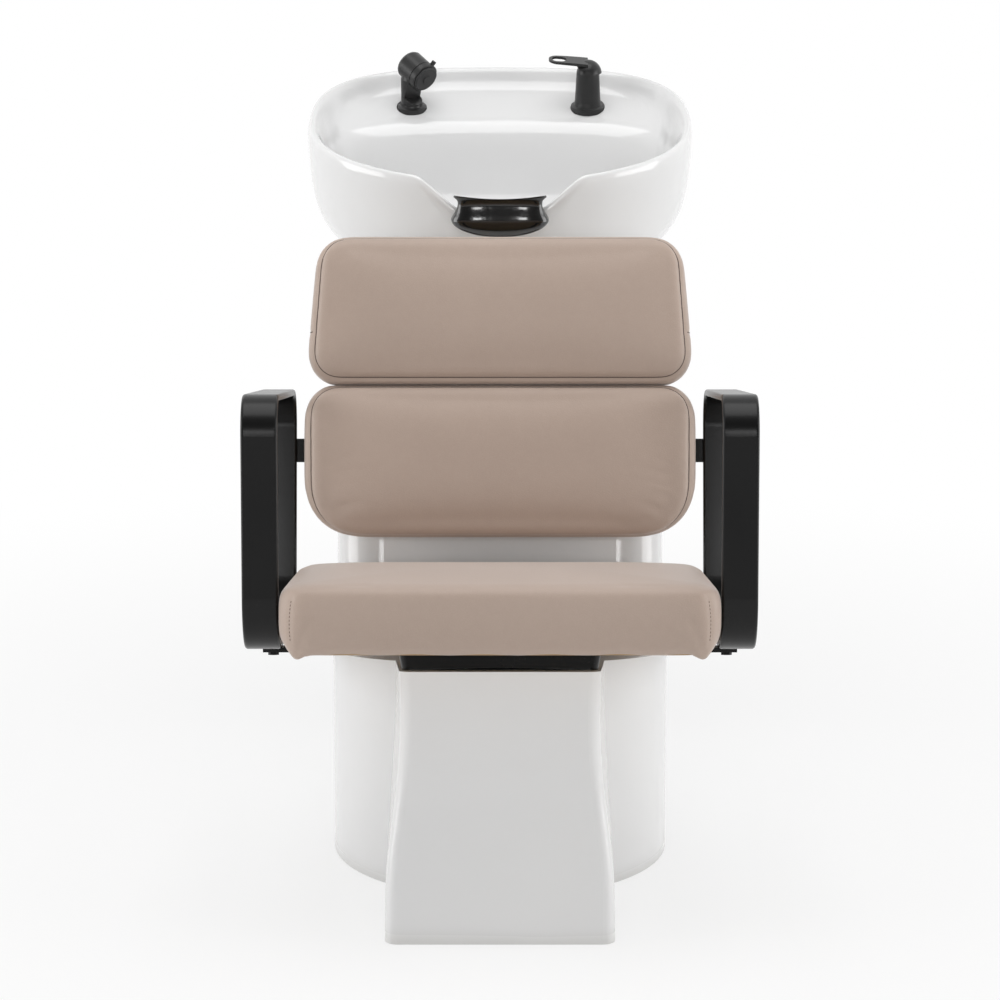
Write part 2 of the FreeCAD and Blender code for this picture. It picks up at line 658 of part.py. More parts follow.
HATCH = Placement(Vector(0, size("column_rear + hatch_cover"), size("hatch_level + hatch_height / 2")),
                  Rotation(Vector(1, 0, 0), 90))
cover_holes = [("%d * (hatch_width + hatch_lap) / 2" % side, "%d * (hatch_height + hatch_lap) / 2" % row,
                "hatch_screw + bolt_play") for side in (-1, 1) for row in (-1, 1)]
cover = rectangle("hatch_width + 2 * hatch_lap",
                  "-hatch_height / 2 - hatch_lap", "hatch_height / 2 + hatch_lap")
keep(plate("hatch_cover", cover, "hatch_cover", HATCH, cover_holes, "hatch_corner"))
pin_group("hatch_screws", WORLD, Vector(0, 1, 0),
          [Vector(x, size("column_rear + hatch_cover"), z) for x, z in hatch_bolts],
          [(size("hatch_screw"), -size("hatch_cover + shell_wall"), 0),
           (2 * size("hatch_screw"), 0, size("hatch_screw"))])

# Steel frame inside the base
UNDER_CAP = "tray_depth + shell_wall + cap_steel"
SEAT_POST = CHAIR.multVec(Vector(0, size("seat_post_at"), -size(UNDER_CAP)))
tongue_front = "%r - post_side" % SEAT_POST.y
plate_points = [
    ("-tongue_width / 2", tongue_front), ("tongue_width / 2", tongue_front),
    ("tongue_width / 2", "-floor_plate_front"), ("floor_plate_width / 2", "-floor_plate_front"),
    ("floor_plate_width / 2", "floor_plate_rear"), ("-floor_plate_width / 2", "floor_plate_rear"),
    ("-floor_plate_width / 2", "-floor_plate_front"), ("-tongue_width / 2", "-floor_plate_front"),
]
anchors = [("%d * anchor_spacing_x / 2" % side, "%d * anchor_spacing_y / 2" % row, "anchor_radius")
           for side in (-1, 1) for row in (-1, 1)]
keep(plate("floor_plate", plate_points, "floor_plate_steel", WORLD, anchors))


def square_tube(name, side, height, x, y):
    """A square tube that stands on the floor plate."""
    level = size("floor_plate_steel")
    outside = block(name + "_outside", side, side, height, WORLD, x, y, level)
    core = "%s - 2 * tube_wall" % side
    return outside, block(name + "_core", core, core, height, WORLD, x, y, level)


outside, core = square_tube("front_post", "post_side", "seat_front_height", 0, SEAT_POST.y)
above_cap = block("front_post_end", "3 * post_side", "3 * post_side", "seat_front_height", CHAIR,
                  0, size("seat_post_at"), -size(UNDER_CAP))
keep(cut("front_post", outside, [core, above_cap]))
cap_holes = [("%d * seat_bolt_spacing_x / 2" % side, "%d * seat_bolt_spacing_y / 2" % row,
              "bolt_radius + bolt_play") for side in (-1, 1) for row in (-1, 1)]
keep(plate("post_cap", rectangle("cap_width", "-cap_depth / 2", "cap_depth / 2"), "cap_steel",
           shift(CHAIR, 0, size("seat_post_at"), -size(UNDER_CAP)), cap_holes))
for side, word in ((-1, "right"), (1, "left")):
    outside, core = square_tube("upright_" + word, "upright_side", "bridge_level - floor_plate_steel",
                                side * size("upright_spacing / 2"), size("hinge_y"))
    keep(cut("upright_" + word, outside, [core]))
keep(block("hinge_bridge", "bridge_width", "bridge_depth", "bridge_steel", WORLD,
           0, size("hinge_y"), size("bridge_level")))

# Seat: tray, board, pad and arm bars
def tray_form(inset):
    """Pressed tray, tapered downwards, open below."""
    wires = []
    for level, width in ((-size("bar_steel") - inset, size("tray_width")),
                         (-size("tray_depth") - (1 if inset else 0), size("tray_foot_width"))):
        front = size("tray_front") + inset
        rear = size("tray_front + tray_length") - inset
        half = width / 2 - inset
        points = [Vector(-half, front, level), Vector(half, front, level),
                  Vector(half, rear, level), Vector(-half, rear, level)]
        wires.append(rounded_wire(points, [size("tray_corner") - inset] * 4))
    return Part.makeLoft(wires, True, True)


tray = tray_form(0).cut(tray_form(size("tray_steel")))
span = size("tray_foot_width") / 2 - 2 * size("tray_corner")
foot = -size("tray_depth")
sill = Part.Wire([
    Part.Arc(Vector(-span, 0, foot), Vector(0, 0, foot + size("tray_arch")), Vector(span, 0, foot)).toShape(),
    Part.LineSegment(Vector(span, 0, foot), Vector(-span, 0, foot)).toShape(),
])
arch = Part.Face(sill).extrude(Vector(0, 3 * size("tray_steel"), 0))
arch.translate(Vector(0, size("tray_front") - size("tray_steel"), 0))
tray = tray.cut(arch)
for x, u in tray_bolts:
    tray = tray.cut(Part.makeCylinder(size("bolt_radius + bolt_play"), size("tray_depth"),
                                      Vector(x, u, -size("tray_depth"))))
keep(shaped("seat_tray", tray, CHAIR))
pin_group("seat_bolts", CHAIR, Vector(0, 0, 1),
          [Vector(x, u, -size("bar_steel")) for x, u in tray_bolts],
          [(size("bolt_radius"), size("bar_steel - tray_depth - shell_wall - cap_steel - bolt_head"), 0),
           (size("bolt_head"), 0, size("bolt_head_height"))])

ARM_INSIDE = "(seat_width / 2 + arm_play)"
bar_length = "2 * %s + 2 * bar_reach" % ARM_INSIDE
arm_hole = "(%s + bar_reach / 2)" % ARM_INSIDE
BAR_PLACES = (("front", "bar_front_at"), ("rear", "seat_length - seat_front - bar_rear_margin"))
for word, place in BAR_PLACES:
    bar_holes = [("%d * %s" % (side, arm_hole), "0", "bolt_radius + bolt_play") for side in (-1, 1)]
    keep(plate("arm_bar_" + word, rectangle(bar_length, "-bar_width / 2", "bar_width / 2"), "bar_steel",
               shift(CHAIR, 0, size(place), -size("bar_steel")), bar_holes))

board_width = "seat_width - 2 * seat_draw - 2 * seat_board_margin"
board_front = "seat_board_margin - seat_front"
board_rear = "seat_length - seat_front - seat_board_margin"
keep(plate("seat_board", rectangle(board_width, board_front, board_rear), "seat_board", CHAIR,
           (), "seat_corner - seat_board_margin"))


def seat_outline(level, draw):
    half = size("seat_width") / 2 - draw
    front = -size("seat_front") + draw
    rear = size("seat_length - seat_front") - draw
    points = [Vector(-half, front, level), Vector(half, front, level),
              Vector(half, rear, level), Vector(-half, rear, level)]
    corner = size("seat_corner")
    return rounded_poles(points, [max(0.2 * corner, corner - draw)] * 4)


seat_top = size("seat_height")
seat_crown = size("seat_crown")
seat_draw = size("seat_draw")
seat_reach = min(size("seat_width"), size("seat_length")) / 2
seat_layers = [
    (0, seat_draw), (0.12 * seat_top, 0.4 * seat_draw), (0.45 * seat_top, 0), (0.8 * seat_top, 0),
    (seat_top, 0.25 * seat_draw), (seat_top + 0.1 * seat_crown, 0.06 * seat_reach),
    (seat_top + 0.4 * seat_crown, 0.21 * seat_reach), (seat_top + 0.8 * seat_crown, 0.46 * seat_reach),
    (seat_top + seat_crown, 0.71 * seat_reach), (seat_top + seat_crown, 0.83 * seat_reach),
]
seat_pad = skin_solid([seat_outline(level, draw) for level, draw in seat_layers])
seat_pocket = plate("seat_pocket", rectangle(board_width, board_front, board_rear), "seat_board", CHAIR,
                    (), "seat_corner - seat_board_margin")
keep(cut("seat_cushion", shaped("seat_pad", seat_pad, CHAIR), [seat_pocket]))

# Armrest loops: a wide flat band bent round in the plane of the seat and the backrest
BACK_PLANE = size("pad_depth + back_board")
TO_CHAIR = CHAIR.inverse()


def on_back_plane(level):
    """Place along the seat where the backrest's rear plane meets a level of the chair frame."""
    one = TO_CHAIR.multVec(BACK.multVec(Vector(0, BACK_PLANE, 0)))
    two = TO_CHAIR.multVec(BACK.multVec(Vector(0, BACK_PLANE, size("upper_height"))))
    return one.y + (two.y - one.y) * (level - one.z) / (two.z - one.z)


def arm_loop(start):
    """Armrest band between start and start plus its width."""
    height = size("arm_height")
    steel = size("arm_steel")
    corners = [Vector(start, size("arm_front_foot"), 0), Vector(start, size("arm_front_top"), height),
               Vector(start, on_back_plane(height), height), Vector(start, on_back_plane(0), 0)]
    radii = [size("arm_foot_radius"), size("arm_top_radius"), size("arm_top_radius"), size("arm_foot_radius")]
    outside = rounded_wire(corners, radii)
    inside = outside.makeOffset2D(-steel)
    band = Part.Face(outside).cut(Part.Face(inside)).extrude(Vector(size("arm_band"), 0, 0))
    return band.makeFillet(size("arm_edge"), [edge for edge in band.Edges
                                              if edge.BoundBox.XLength < 1e-6])


arm_start = size(ARM_INSIDE)
for side, word in ((-1, "right"), (1, "left")):
    loop = arm_loop(arm_start if side > 0 else -arm_start - size("arm_band"))
    for word_at, place in BAR_PLACES:
        loop = loop.cut(Part.makeCylinder(size("bolt_radius + bolt_play"), size("arm_bite + bolt_play"),
                                          Vector(side * size(arm_hole), size(place), 0)))
    drill = Part.makeCylinder(size("bolt_radius + bolt_play"), size("arm_bite + bolt_play"),
                              Vector(side * size(arm_hole), BACK_PLANE - size("arm_bite + bolt_play"),
                                     size("back_bar_level")), Vector(0, 1, 0))
    drill.Placement = TO_CHAIR.multiply(BACK).multiply(drill.Placement)
    keep(shaped("armrest_" + word, loop.cut(drill), CHAIR))
pin_group("arm_bolts", CHAIR, Vector(0, 0, 1),
          mirrored_spots(size(arm_hole), [(size(place), -size("bar_steel")) for word, place in BAR_PLACES]),
          [(size("bolt_head"), -size("bolt_head_height"), 0),
           (size("bolt_radius"), 0, size("bar_steel + arm_bite"))])

# Backrest: two pads on boards, two straps and the bar between the armrests
def trapezoid(foot, top, foot_width, top_width, foot_corner, top_corner):
    """Outline maker for a back pad that stands between foot and top."""
    def outline(level, draw):
        low, high = foot_width / 2 - draw, top_width / 2 - draw
        points = [Vector(-low, level, foot + draw), Vector(low, level, foot + draw),
                  Vector(high, level, top - draw), Vector(-high, level, top - draw)]
        corners = (foot_corner, foot_corner, top_corner, top_corner)
        return rounded_poles(points, [max(0.2 * corner, corner - draw) for corner in corners])
    return outline


upper_foot = size("lower_height + pad_gap")
upper_top = upper_foot + size("upper_height")
pads = (
    ("lower", size("lower_height / 2"),
     trapezoid(0, size("lower_height"), size("lower_width"), size("lower_width"),
               size("lower_foot_corner"), size("lower_top_corner"))),
    ("upper", size("upper_height / 2"),
     trapezoid(upper_foot, upper_top, size("upper_width"), size("upper_top_width"),
               size("upper_corner"), size("upper_corner"))),
)
strap_x = size("back_strap_spacing / 2")
spacer_levels = {
    "lower": [size("spacer_margin")],
    "upper": [upper_foot + size("spacer_margin"), upper_top - size("spacer_margin")],
}
depth, crown, seam = size("pad_depth"), size("pad_crown"), size("pad_seam")
for word, reach, outline in pads:
    layers = [(depth, seam), (0.85 * depth, 0.2 * seam), (0.5 * depth, 0), (0.15 * depth, 0.2 * seam),
              (0, 0.8 * seam), (-0.3 * crown, 2 * seam), (-0.8 * crown, 0.4 * reach), (-crown, 0.67 * reach),
              (-crown, 0.81 * reach)]
    keep(shaped(word + "_back_cushion", skin_solid([outline(level, draw) for level, draw in layers]), BACK))
    poles = outline(depth, size("back_board_margin"))
    edge = Part.BSplineCurve()
    edge.buildFromPolesMultsKnots(poles, [1] * (len(poles) + 1), list(range(len(poles) + 1)), True, 3)
    board = Part.Face(Part.Wire([edge.toShape()])).extrude(Vector(0, size("back_board"), 0))
    for spot in mirrored_spots(strap_x, [(BACK_PLANE, level) for level in spacer_levels[word]]):
        board = board.cut(Part.makeCylinder(size("screw_radius"), size("screw_bite"),
                                            spot - Vector(0, size("screw_bite"), 0), Vector(0, 1, 0)))
    keep(shaped(word + "_back_board", board, BACK))

half_bar = "%s + arm_band - back_bar_inset" % ARM_INSIDE
bar_holes = [("%d * %s" % (side, arm_hole), "0", "bolt_radius + bolt_play") for side in (-1, 1)]
bar_holes += [("%d * back_strap_spacing / 2" % side, "0", "bolt_radius + bolt_play") for side in (-1, 1)]
keep(plate("back_bar", rectangle("2 * (%s)" % half_bar, "-back_bar_height / 2", "back_bar_height / 2"),
           "bar_steel", shift(BACK, 0, BACK_PLANE + size("bar_steel"), size("back_bar_level"),
                              Rotation(Vector(1, 0, 0), 90)), bar_holes))
strap_plane = BACK_PLANE + size("bar_steel")
strap_top = "lower_height + pad_gap + upper_height - back_strap_foot"
strap_holes = [("0", "%r" % level, "screw_radius + bolt_play")
               for level in spacer_levels["lower"] + spacer_levels["upper"]]
strap_holes.append(("0", "back_bar_level", "bolt_radius + bolt_play"))
for side, word in ((-1, "right"), (1, "left")):
    keep(plate("back_strap_" + word, rectangle("back_strap_width", "back_strap_foot", strap_top), "bar_steel",
               shift(BACK, side * strap_x, strap_plane + size("bar_steel"), 0,
                     Rotation(Vector(1, 0, 0), 90)), strap_holes, "back_strap_width / 3"))
spots = mirrored_spots(strap_x, [(BACK_PLANE, level)
                                 for word in ("lower", "upper") for level in spacer_levels[word]])
rings = []
for spot in spots:
    ring = Part.makeCylinder(size("spacer_radius"), size("bar_steel"), spot, Vector(0, 1, 0))
    rings.append(ring.cut(Part.makeCylinder(size("screw_radius + bolt_play"), size("bar_steel"), spot,
                                            Vector(0, 1, 0))))
keep(shaped("back_spacers", Part.makeCompound(rings), BACK))
pin_group("back_screws", BACK, Vector(0, 1, 0), spots,
          [(size("screw_radius"), -size("screw_bite"), size("2 * bar_steel")),
           (size("screw_head"), size("2 * bar_steel"), size("2 * bar_steel + screw_head_height"))])
level = size("back_bar_level")
pin_group("back_bolts", BACK, Vector(0, 1, 0),
          mirrored_spots(strap_x, [(BACK_PLANE, level)]),
          [(size("bolt_radius"), 0, size("2 * bar_steel")),
           (size("bolt_head"), size("2 * bar_steel"), size("2 * bar_steel + bolt_head_height"))])
pin_group("arm_back_bolts", BACK, Vector(0, 1, 0),
          mirrored_spots(size(arm_hole), [(BACK_PLANE, level)]),
          [(size("bolt_radius"), -size("arm_bite"), size("bar_steel")),
           (size("bolt_head"), size("bar_steel"), size("bar_steel + bolt_head_height"))])


# Glazed basin: one skin from the underside over the rim to the bowl's floor
FRONT_SHARES = (0.96, 0.87, 0.77, 0.66, 0.55, 0.48, 0.435, 0.4, 0.35, 0.3, 0.255, 0.22, 0.17, 0.09)
REAR_STEPS = 8


def basin_spots():
    """Places round the basin as (across, along) from -1 to 1, close at the corners of the neck notch."""
    turns = [math.pi / 2 * step / REAR_STEPS for step in range(REAR_STEPS)]
    rear_side = [(math.sin(turn) ** 0.66, math.cos(turn) ** 0.66) for turn in turns]
    front_side = [(share, -(1 - share ** 2.05) ** (1 / 2.05)) for share in FRONT_SHARES]
    right = rear_side[1:] + [(1.0, 0.0)] + front_side
    left = [(-across, along) for across, along in reversed(right)]
    return rear_side[:1] + right + [(0.0, -1.0)] + left


def basin_ring(half, front, rear, side_level, rear_level, dip):
    """Poles of one closed line of the skin; dip is the share of the neck notch it takes."""
    middle = size("basin_waist")
    top, foot = size("notch_top / 2"), size("notch_foot / 2")
    poles = []
    for across, along in basin_spots():
        x = across * half
        level = side_level
        if along > 0:
            y = middle + along * (rear - middle)
            climb = along ** 1.6
            level += (rear_level - side_level) * climb * climb * (3 - 2 * climb)
        else:
            y = middle + along * (front + middle)
            level -= dip * size("notch_depth") * min(1.0, max(0.0, (top - abs(x)) / (top - foot)))
        poles.append(Vector(x, y, level))
    return poles


half = size("basin_width / 2")
front = size("basin_front")
rear = size("basin_rear")
deep = size("basin_depth")
rim = size("rim_width")
deck = size("deck_drop")
deck_edge = size("deck_front")
bowl_floor = deep - size("basin_floor")
rings = [
    basin_ring(0.46 * half, 0.70 * front, 0.18 * rear, -deep, -deep, 0.0),
    basin_ring(0.72 * half, 0.80 * front, 0.42 * rear, -0.97 * deep, -0.97 * deep, 0.0),
    basin_ring(0.93 * half, 0.89 * front, 0.70 * rear, -0.76 * deep, -0.76 * deep, 0.1),
    basin_ring(0.985 * half, 0.95 * front, 0.89 * rear, -0.47 * deep, -0.47 * deep, 0.35),
    basin_ring(0.995 * half, 0.98 * front, 0.97 * rear, -0.20 * deep, -0.20 * deep, 0.75),
    basin_ring(half, front, rear, -0.5 * rim, -0.5 * rim, 1.0),
    basin_ring(half - 0.5 * rim, front - 0.5 * rim, rear - 0.5 * rim, 0.0, 0.0, 1.0),
    basin_ring(half - rim, front - rim, rear - rim, -0.5 * rim, -0.5 * rim, 1.0),
    basin_ring(half - 1.5 * rim, front - 1.5 * rim, rear - 1.9 * rim, -0.16 * deep, -0.85 * deck, 0.85),
    basin_ring(half - 2.0 * rim, front - 1.9 * rim, deck_edge + 0.5 * rim, -0.29 * deep, -deck, 0.6),
    basin_ring(half - 2.6 * rim, front - 2.4 * rim, deck_edge - 0.9 * rim, -0.50 * deep, -0.40 * deep, 0.2),
    basin_ring(half - 4.5 * rim, front - 3.6 * rim, deck_edge - 3.2 * rim, -0.78 * deep, -0.76 * deep, 0.0),
    basin_ring(0.27 * half, 0.42 * front, 0.10 * rear, -bowl_floor, -bowl_floor, 0.0),
]
skin = skin_solid(rings)
under_deck = -size("deck_drop + deck_spot + deck_thick")
inner_apron = rear - rim - size("apron")
side = -size("pocket_width / 2")
draft_end = inner_apron - size("pocket_draft")
behind = [Vector(side, deck_edge + size("pocket_setback"), under_deck), Vector(side, inner_apron, under_deck),
          Vector(side, draft_end, -deep), Vector(side, draft_end, -1.3 * deep),
          Vector(side, deck_edge - size("pocket_foot"), -1.3 * deep),
          Vector(side, deck_edge - size("pocket_lean"), -0.62 * deep)]
pocket = Part.Face(Part.makePolygon(behind + behind[:1])).extrude(Vector(size("pocket_width"), 0, 0))
basin = skin.cut(pocket)
for x, radius, spot in ((size("tap_at"), size("shank_radius"), size("mixer_flange")),
                        (-size("shower_at"), size("sleeve_radius"), size("holder_flange"))):
    centre = Vector(x, size("deck_row"), DECK_LEVEL)
    basin = basin.cut(Part.makeCylinder(spot + 1, deck, centre))
    basin = basin.cut(Part.makeCylinder(radius + 1, 3 * deck, centre - Vector(0, 0, 1.5 * deck)))
basin = basin.cut(Part.makeCylinder(size("drain_hole"), deep, Vector(0, -size("drain_at"), -1.3 * deep)))
basin = basin.cut(Part.makeCylinder(size("waste_flange + waste_sink"), deep / 2,
                                    Vector(0, -size("drain_at"), -bowl_floor)))
studs = mirrored_spots(size("stud_spacing_x / 2"),
                       [(-size("stud_front"), -deep), (-size("stud_rear"), -deep)])
for spot in studs:
    basin = basin.cut(Part.makeCylinder(size("stud_radius + fit_play"), size("stud_bite + 1"), spot))
keep(shaped("basin", basin, BASIN))

# Gel neck rest: a bellied plug with a flared lip, moulded to the notch
def neck_ring(share, ahead, behind, level, arc=0):
    """Poles of one line: share of the width, reach ahead of and behind the rim's front, rise at its ends."""
    poles = []
    for step in range(20):
        turn = math.pi * step / 10
        across, along = math.cos(turn), math.sin(turn)
        y = math.copysign(abs(along) ** 0.8, along) * (behind if along > 0 else ahead)
        lean = size("neck_slope / neck_top") * max(0, level) * (y + ahead)
        aside = math.copysign(abs(across) ** 0.7, across) * share
        height = level * (1 - arc * aside * aside) - lean
        poles.append(Vector(aside * size("neck_width / 2"), y - front, height - size("notch_depth")))
    return poles


fall, lift = size("neck_fall"), size("neck_top")
ahead, behind = size("neck_front"), size("neck_inside")
arc = size("neck_arc")
plug = skin_solid([
    neck_ring(0.40, 0.12 * ahead, 0.05 * behind, -fall),
    neck_ring(0.84, 0.52 * ahead, 0.09 * behind, -0.99 * fall, arc),
    neck_ring(1.01, 0.87 * ahead, 0.12 * behind, -0.78 * fall, arc),
    neck_ring(1.03, ahead, 0.18 * behind, -0.46 * fall, arc),
    neck_ring(0.94, 0.87 * ahead, 0.41 * behind, -0.12 * fall, arc),
    neck_ring(0.87, 0.52 * ahead, 0.76 * behind, 0.32 * lift),
    neck_ring(0.88, 0.43 * ahead, 0.94 * behind, 0.68 * lift),
    neck_ring(1.03, 0.61 * ahead, behind, 0.92 * lift),
    neck_ring(0.88, 0.35 * ahead, 0.82 * behind, lift),
    neck_ring(0.80, 0.09 * ahead, 0.65 * behind, lift),
])
hollow = size("neck_width * neck_width / (8 * neck_saddle)")
fall_line = Vector(0, 1, -size("neck_slope"))
above = Vector(0, -front - 0.61 * ahead, lift - size("notch_depth + neck_saddle") + hollow * fall_line.Length)
saddle = Part.makeCylinder(hollow, size("4 * neck_width"), above - fall_line * size("neck_width"), fall_line)
keep(cut("neck_rest", shaped("neck_plug", plug.cut(saddle), BASIN), [doc.getObject("basin")]))

# Basin hinge: fixed ears on the bridge, pin, carrier with bushed ears, mats and studs
EAR_INNER = "(carrier_width / 2 + ear_gap)"
hinge = Vector(0, size("hinge_y"), size("bridge_level + bridge_steel + hinge_rise"))
hinge_basin = BASIN.inverse().multVec(hinge)
bridge_top = size("bridge_level + bridge_steel")


def ear(name, width, x, thickness, foot, centre, bore, placement):
    """An upright plate with a rounded end and a bore, padded along X."""
    radius = size("ear_radius")
    tip = 1 if centre.z > foot else -1
    outline = Part.Wire([
        Part.LineSegment(Vector(x, centre.y - width, foot), Vector(x, centre.y - radius, centre.z)).toShape(),
        Part.Arc(Vector(x, centre.y - radius, centre.z), Vector(x, centre.y, centre.z + tip * radius),
                 Vector(x, centre.y + radius, centre.z)).toShape(),
        Part.LineSegment(Vector(x, centre.y + radius, centre.z), Vector(x, centre.y + width, foot)).toShape(),
        Part.LineSegment(Vector(x, centre.y + width, foot), Vector(x, centre.y - width, foot)).toShape(),
    ])
    solid = Part.Face(outline).extrude(Vector(thickness, 0, 0))
    drilled = solid.cut(Part.makeCylinder(bore, thickness, Vector(x, centre.y, centre.z), Vector(1, 0, 0)))
    return shaped(name, drilled, placement)


for side, word in ((-1, "right"), (1, "left")):
    start = size(EAR_INNER) if side > 0 else -size(EAR_INNER) - size("ear_steel")
    keep(ear("hinge_ear_" + word, size("bridge_depth / 2"), start, size("ear_steel"), bridge_top, hinge,
             size("hinge_pin + hinge_run"), WORLD))
pin_end = "%s + ear_steel + collar_width + pin_overhang" % EAR_INNER
keep(cylinder("hinge_pin", "hinge_pin", "2 * (%s)" % pin_end,
              Placement(hinge - Vector(size(pin_end), 0, 0), TURN_X)))
collars = []
for start in (size(EAR_INNER) + size("ear_steel"), -size(EAR_INNER) - size("ear_steel + collar_width")):
    base = hinge + Vector(start, 0, 0)
    collar = Part.makeCylinder(size("hinge_pin + collar_wall"), size("collar_width"), base, Vector(1, 0, 0))
    collars.append(collar.cut(Part.makeCylinder(size("hinge_pin"), size("collar_width"), base,
                                                Vector(1, 0, 0))))
keep(shaped("hinge_collars", Part.makeCompound(collars)))

carrier_top = -size("basin_depth + mat_thick")
sheet_hole = ("0", "-drain_at", "carrier_hole")
stud_holes = [("%d * stud_spacing_x / 2" % side, "-%s" % row, "stud_radius + bolt_play")
              for side in (-1, 1) for row in ("stud_front", "stud_rear")]
keep(plate("carrier_plate", rectangle("carrier_width", "-carrier_front", "carrier_rear"), "carrier_steel",
           shift(BASIN, 0, 0, carrier_top - size("carrier_steel")), [sheet_hole] + stud_holes,
           "carrier_rear / 2"))
bush_out = "hinge_pin + hinge_run + bush_wall"
for side, word in ((-1, "right"), (1, "left")):
    start = size("carrier_width / 2 - carrier_steel") if side > 0 else -size("carrier_width / 2")
    centre = Vector(0, hinge_basin.y, hinge_basin.z)
    keep(ear("carrier_ear_" + word, size("1.2 * ear_radius"), start, size("carrier_steel"),
             carrier_top - size("carrier_steel"), centre, size(bush_out), BASIN))
bushes = []
for side in (-1, 1):
    middle = side * size("carrier_width / 2 - carrier_steel / 2")
    base = hinge + Vector(middle - size("bush_length / 2"), 0, 0)
    bush = Part.makeCylinder(size(bush_out), size("bush_length"), base, Vector(1, 0, 0))
    bushes.append(bush.cut(Part.makeCylinder(size("hinge_pin + hinge_run"), size("bush_length"), base,
                                             Vector(1, 0, 0))))
keep(shaped("hinge_bushes", Part.makeCompound(bushes)))
mats = []
for spot in studs:
    base = spot - Vector(0, 0, size("mat_thick"))
    mat = Part.makeCylinder(size("mat_radius"), size("mat_thick"), base)
    mats.append(mat.cut(Part.makeCylinder(size("stud_radius + bolt_play"), size("mat_thick"), base)))
keep(shaped("basin_mats", Part.makeCompound(mats), BASIN))
pin_group("basin_studs", BASIN, Vector(0, 0, 1), studs,
          [(2 * size("stud_radius"), -size("mat_thick + carrier_steel + stud_radius"),
            -size("mat_thick + carrier_steel")),
           (size("stud_radius"), -size("mat_thick + carrier_steel"), size("stud_bite"))])

# Waste, in the drain frame: zero is the basin's underside
BARREL = "(drain_hole - waste_play)"
SEAT = "(%s - waste_wall + waste_seat)" % BARREL
STEP = "(basin_floor + waste_lip - strainer_sink)"
FOOT = "(basin_floor - waste_length)"
keep(turned("waste_body", [
    (BARREL, "basin_floor"), ("waste_flange", "basin_floor"), ("waste_flange", "basin_floor + waste_lip / 2"),
    (SEAT, "basin_floor + waste_lip"), (SEAT, STEP), ("%s - waste_wall" % BARREL, STEP),
    ("%s - waste_wall" % BARREL, "%s + waste_wall" % FOOT),
    ("tail_radius + fit_play", "%s + waste_wall" % FOOT), ("tail_radius + fit_play", FOOT), (BARREL, FOOT),
], DRAIN))
strainer = turned("strainer_disc", [
    ("0", STEP), ("%s - fit_play" % SEAT, STEP),
    ("%s - fit_play" % SEAT, "%s + strainer_thick" % STEP), ("0", "%s + strainer_thick" % STEP),
], DRAIN)
drills = [cylinder("strainer_drill", "strainer_hole", "3 * strainer_thick",
                   shift(DRAIN, 0, 0, size(STEP) - size("strainer_thick")))]
for ring in (1, 2, 3):
    radius = ring * size("strainer_pitch")
    for step in range(6 * ring):
        angle = math.pi * step / (3 * ring)
        drills.append(cylinder("strainer_drill_%d_%d" % (ring, step), "strainer_hole", "3 * strainer_thick",
                               shift(DRAIN, radius * math.cos(angle), radius * math.sin(angle),
                                     size(STEP) - size("strainer_thick"))))
keep(cut("strainer", strainer, drills))
keep(turned("waste_nut", [
    ("%s + fit_play" % BARREL, "0"), ("%s + waste_nut_wall" % BARREL, "0"),
    ("%s + waste_nut_wall" % BARREL, "-waste_nut_height"), ("%s + fit_play" % BARREL, "-waste_nut_height"),
], DRAIN))
keep(turned("drain_tail", [
    ("tail_radius - tail_wall", "%s + waste_wall + tail_bead" % FOOT),
    ("tail_radius + tail_bead", "%s + waste_wall + tail_bead" % FOOT),
    ("tail_radius + tail_bead", "%s + waste_wall" % FOOT), ("tail_radius", "%s + waste_wall" % FOOT),
    ("tail_radius", FOOT), ("tail_radius + tail_collar", FOOT),
    ("tail_radius + tail_collar", "%s - tail_collar" % FOOT), ("tail_radius", "%s - tail_collar" % FOOT),
    ("tail_radius", "%s - tail_collar - tail_length" % FOOT),
    ("tail_radius - tail_wall", "%s - tail_collar - tail_length" % FOOT),
], DRAIN))

# Mixer: body with round top, cartridge barrel, pivot pin and lever with hood
body = turned("mixer_turning", [
    ("0", "mixer_pivot"), ("0", "-shank_length"), ("shank_radius", "-shank_length"), ("shank_radius", "0"),
    ("mixer_flange", "0"), ("mixer_flange", "mixer_flange_height"),
    ("mixer_radius + mixer_flare", "mixer_foot_height * 0.6"), ("mixer_radius", "mixer_foot_height"),
    ("mixer_neck", "mixer_pivot"),
], MIXER)
dome = doc.addObject("Part::Sphere", "mixer_dome")
bind(dome, "Radius", "mixer_neck")
dome.Placement = shift(MIXER, 0, 0, size("mixer_pivot"))
bore = cylinder("mixer_bore", "barrel_radius", "3 * mixer_radius",
                shift(MIXER, 0, 0, size("mixer_pivot - barrel_drop")))
inlets = [cylinder("mixer_inlet_%d" % number, "inlet_radius", "inlet_depth",
                   shift(MIXER, side * size("inlet_spacing / 2"), 0, -size("shank_length")))
          for number, side in enumerate((-1, 1))]
keep(cut("mixer_body", union("mixer_form", [body, dome]), [bore] + inlets))
keep(turned("mixer_nut", [
    ("shank_radius + fit_play", "-deck_thick"), ("shank_radius + nut_wall", "-deck_thick"),
    ("shank_radius + nut_wall", "-deck_thick - nut_height"),
    ("shank_radius + fit_play", "-deck_thick - nut_height"),
], MIXER))
PIVOT = shift(MIXER, 0, 0, size("mixer_pivot"))
barrel = cylinder("barrel_turning", "barrel_radius - barrel_run", "barrel_drop + barrel_rise",
                  shift(PIVOT, 0, 0, -size("barrel_drop")))
slot = block("barrel_slot", "3 * barrel_radius", "stem_width + 2 * stem_play", "3 * barrel_drop", PIVOT,
             0, 0, size("barrel_floor - barrel_drop"))
pin_half = "(barrel_radius - pin_inset)"
pin_place = shift(PIVOT, 0, -size(pin_half), 0, TURN_Y)
